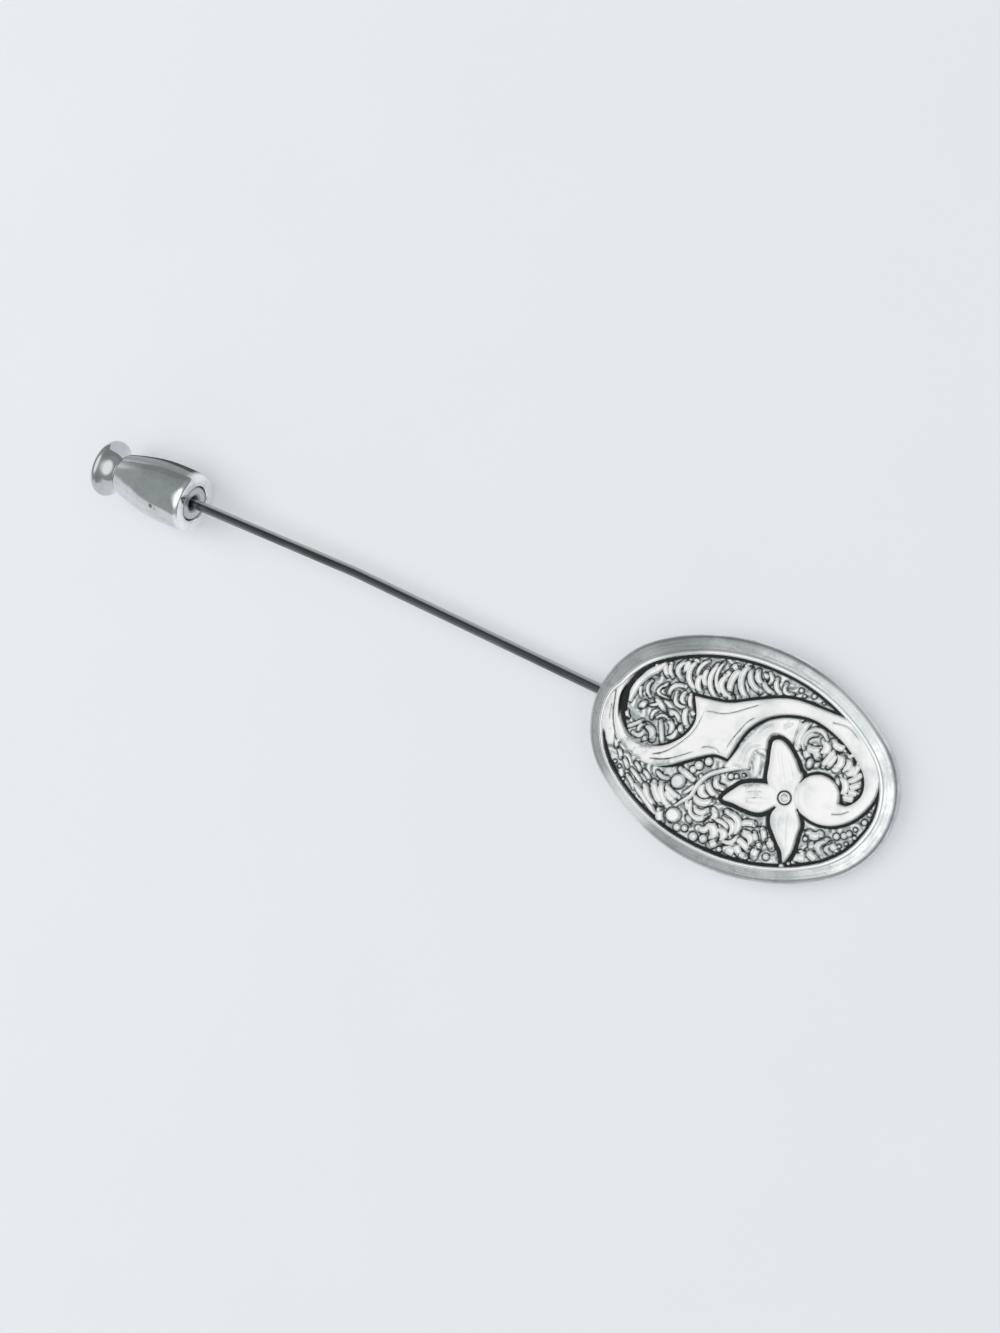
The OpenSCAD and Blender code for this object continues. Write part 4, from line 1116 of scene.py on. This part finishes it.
barrel = {
    # distance behind the front face, radius
    "skin": [(0.0, 2.26), (0.03, 2.36), (0.08, 2.48), (0.25, 2.63), (0.6, 2.75), (1.3, 2.81), (2.2, 2.83),
             (3.2, 2.82), (4.2, 2.76), (5.0, 2.66), (5.8, 2.51), (6.6, 2.34), (7.3, 2.17), (7.9, 2.01),
             (8.18, 1.93), (8.27, 1.88), (8.3, 1.8)],
    "seat": 1.65, "web": (2.9, 3.6), "bore": 1.35, "guide": 0.55,
}
insert = {
    "face": [(0.75, 0.5), (0.5, 0.6), (0.34, 0.68), (0.22, 0.74), (0.185, 0.8), (0.17, 0.95), (0.15, 1.2),
             (0.125, 1.4), (0.12, 1.46), (0.15, 1.51), (0.26, 1.57), (0.4, 1.6)],
    "length": 2.8,
}
knob = {
    "skin": [(8.34, 1.74), (8.4, 1.77), (8.55, 1.78), (8.8, 1.83), (9.05, 1.93), (9.3, 2.1), (9.55, 2.34),
             (9.75, 2.56), (9.88, 2.65), (10.0, 2.67), (10.15, 2.64), (10.22, 2.58), (10.25, 2.5)],
    "stem": 1.3, "stemFrom": 4.0, "room": 0.55, "roomTo": 9.2, "roomTip": 9.5,
}


def turnTree():
    # a sheet of points wound round the axis, each column following the profile
    graph, entry = newTree("turned piece", [("Profile", "Object"), ("Rows", "Int"), ("Segments", "Int")])
    outline = graph.add("GeometryNodeObjectInfo", None, {"Object": entry["Profile"]}, 4)
    sheet = graph.add("GeometryNodeMeshGrid", None, {"Size X": 1.0, "Size Y": 1.0,
                      "Vertices X": entry["Segments"] + 1, "Vertices Y": entry["Rows"]})
    spot = graph.add("GeometryNodeInputPosition")
    across, along, _ = graph.split(spot)
    row = graph.maths("ROUND", (along + 0.5) * (entry["Rows"] - 1))
    found = graph.add("GeometryNodeSampleIndex", {"data_type": "FLOAT_VECTOR"},
                      {"Geometry": outline, "Value": spot, "Index": row})
    depth, radius, _ = graph.split(found)
    angle = (across + 0.5) * (2 * math.pi)
    c, s = graph.maths("COSINE", angle), graph.maths("SINE", angle)
    kept = graph.keepNamed(sheet, "around", graph.join(c, s, depth))
    shaped = graph.move(kept, graph.join(radius * c, radius * s, depth))
    joined = graph.add("GeometryNodeMergeByDistance", None, {"Geometry": shaped, "Distance": 0.0005})
    return closeTree(graph, joined, entry)


turned = turnTree()


def turnedPiece(name, rows, body, material, node, segments):
    host = addObject(name + " profile", newMesh(name + " profile", [(*row, 0.0) for row in rows]))
    mesh = grown(turned, newMesh(name + " base", []),
                 {"Profile": host, "Rows": len(rows), "Segments": segments, "Material": material})
    bpy.data.objects.remove(host)
    keepMesh(name, mesh, clutchMatrix, body, material, node)


(webFront, webBack), seat, bore, guide = (barrel[key] for key in ("web", "seat", "bore", "guide"))
barrelRows = [*smoothRows(barrel["skin"], 3), (8.30, 1.50), (8.29, bore + 0.02), (8.24, bore),
              (webBack, bore), (webBack, guide), (webFront, guide), (webFront, seat), (0.20, seat),
              (0.05, seat + 0.05), (0.0, seat + 0.12), (0.0, 2.0), (0.0, 2.26)]
turnedPiece("clutchBarrel", barrelRows, "clutch", clutchPlate, "clutch_barrel", 128)
insertRows = [*smoothRows(insert["face"], 3), (insert["length"], 1.60), (insert["length"], 0.50),
              (0.75, 0.50)]
turnedPiece("clutchInsert", insertRows, "clutch", insertPlate, "clutch_insert", 96)
stem, stemFrom, hollow = knob["stem"], knob["stemFrom"], knob["room"]
knobRows = [(stemFrom, hollow), (stemFrom, stem), (8.30, stem), (8.34, stem + 0.04),
            *smoothRows(knob["skin"], 3), (10.25, 1.6), (10.25, 0.0), (knob["roomTip"], 0.0),
            (knob["roomTo"], hollow), (stemFrom, hollow)]
turnedPiece("clutchKnob", knobRows, "knob", clutchPlate, "clutch_knob", 128)

studio = {
    "floor": grey(0.52, -0.034), "cloth": grey(0.50, -0.034),
    "floorGlow": grey(0.315, -0.034),     # the sheet is lit from below as well
    "floorSize": 1.6,
    "keyAt": (-0.37, -0.09, 0.46), "keySize": (0.50, 0.50), "keyPower": 1.8,
    "bright": (0.35, 0.0, 0.93), "brightAt": (0.70, 0.91),    # where the ceiling glows
    "nearAt": (0.05, 0.45), "highAt": (0.30, 0.45),
    "skyBright": grey(1.18, -0.004), "skyNear": grey(0.80, -0.004),
    "skyMid": grey(0.38, 0.0, 0.06), "skyFar": grey(0.30, 0.0, 0.06),
    "nearSide": (-0.64, -0.77, 0.0),    # the side where the paper runs on to a pale horizon
}
view = {
    # stands over the head's side of the pin, 64 degrees above the floor
    "place": (72.43, 13.52, 144.87),
    "right": (0.8125, 0.3960, -0.4277), "forward": (-0.4262, -0.0969, -0.8994),
    "sensor": 36.0, "focalPixels": 1900, "tallPixels": 1333,
}


def makeFloor():
    half = studio["floorSize"] / 2
    corners = [(-half, -half, 0), (half, -half, 0), (half, half, 0), (-half, half, 0)]
    floor = addObject("floor", newMesh("floor", corners, [], [(0, 1, 2, 3)]))
    material, graph, place = newMaterial("pale floor")
    finishMaterial(graph, {
        "Base Color": graph.blend(graph.noise(place, 60.0), studio["floor"], studio["cloth"]),
        "Roughness": 0.8, "Emission Color": studio["floorGlow"], "Emission Strength": 1.0})
    floor.data.materials.append(material)


def makeLight():
    data = bpy.data.lights.new("window light", "AREA")
    data.shape = "RECTANGLE"
    data.size, data.size_y = studio["keySize"]
    data.energy = studio["keyPower"]
    lamp = addObject("window light", data)
    lamp.location = studio["keyAt"]
    lamp.visible_glossy = False         # it shapes the shadows, the sky alone is mirrored
    lamp.rotation_euler = (-Vector(studio["keyAt"])).to_track_quat("-Z", "Y").to_euler()


def makeSky():
    scene.world = bpy.data.worlds.new("soft studio")
    scene.world.use_nodes = True
    scene.world.node_tree.nodes.clear()
    graph = Graph(scene.world.node_tree)
    direction = graph.add("ShaderNodeTexCoord")
    lift = graph.split(direction)[2]
    glow = graph.dot(direction, Vector(studio["bright"]).normalized())
    side = graph.dot(direction, studio["nearSide"])
    shade = graph.blend(graph.step(side, *studio["nearAt"]), studio["skyFar"], studio["skyNear"])
    shade = graph.blend(graph.step(lift, *studio["highAt"]), shade, studio["skyMid"])
    shade = graph.blend(graph.step(glow, *studio["brightAt"]), shade, studio["skyBright"])
    sky = graph.add("ShaderNodeBackground", None, {"Color": shade})
    graph.add("ShaderNodeOutputWorld", None, {"Surface": sky})


def makeCamera():
    forward = Vector(view["forward"]).normalized()
    right = Vector(view["right"])
    right = (right - forward * right.dot(forward)).normalized()
    axes = Matrix((right, right.cross(forward), -forward)).transposed().to_4x4()
    data = bpy.data.cameras.new("camera")
    data.sensor_fit, data.sensor_width = "AUTO", view["sensor"]
    data.lens = view["sensor"] * view["focalPixels"] / view["tallPixels"]
    data.clip_start, data.clip_end = 0.01, 10.0
    camera = addObject("camera", data)
    camera.matrix_world = Matrix.Translation(Vector(view["place"]) * millimetre) @ axes
    scene.camera = camera


makeFloor()
makeLight()
makeSky()
makeCamera()
print("studio made")
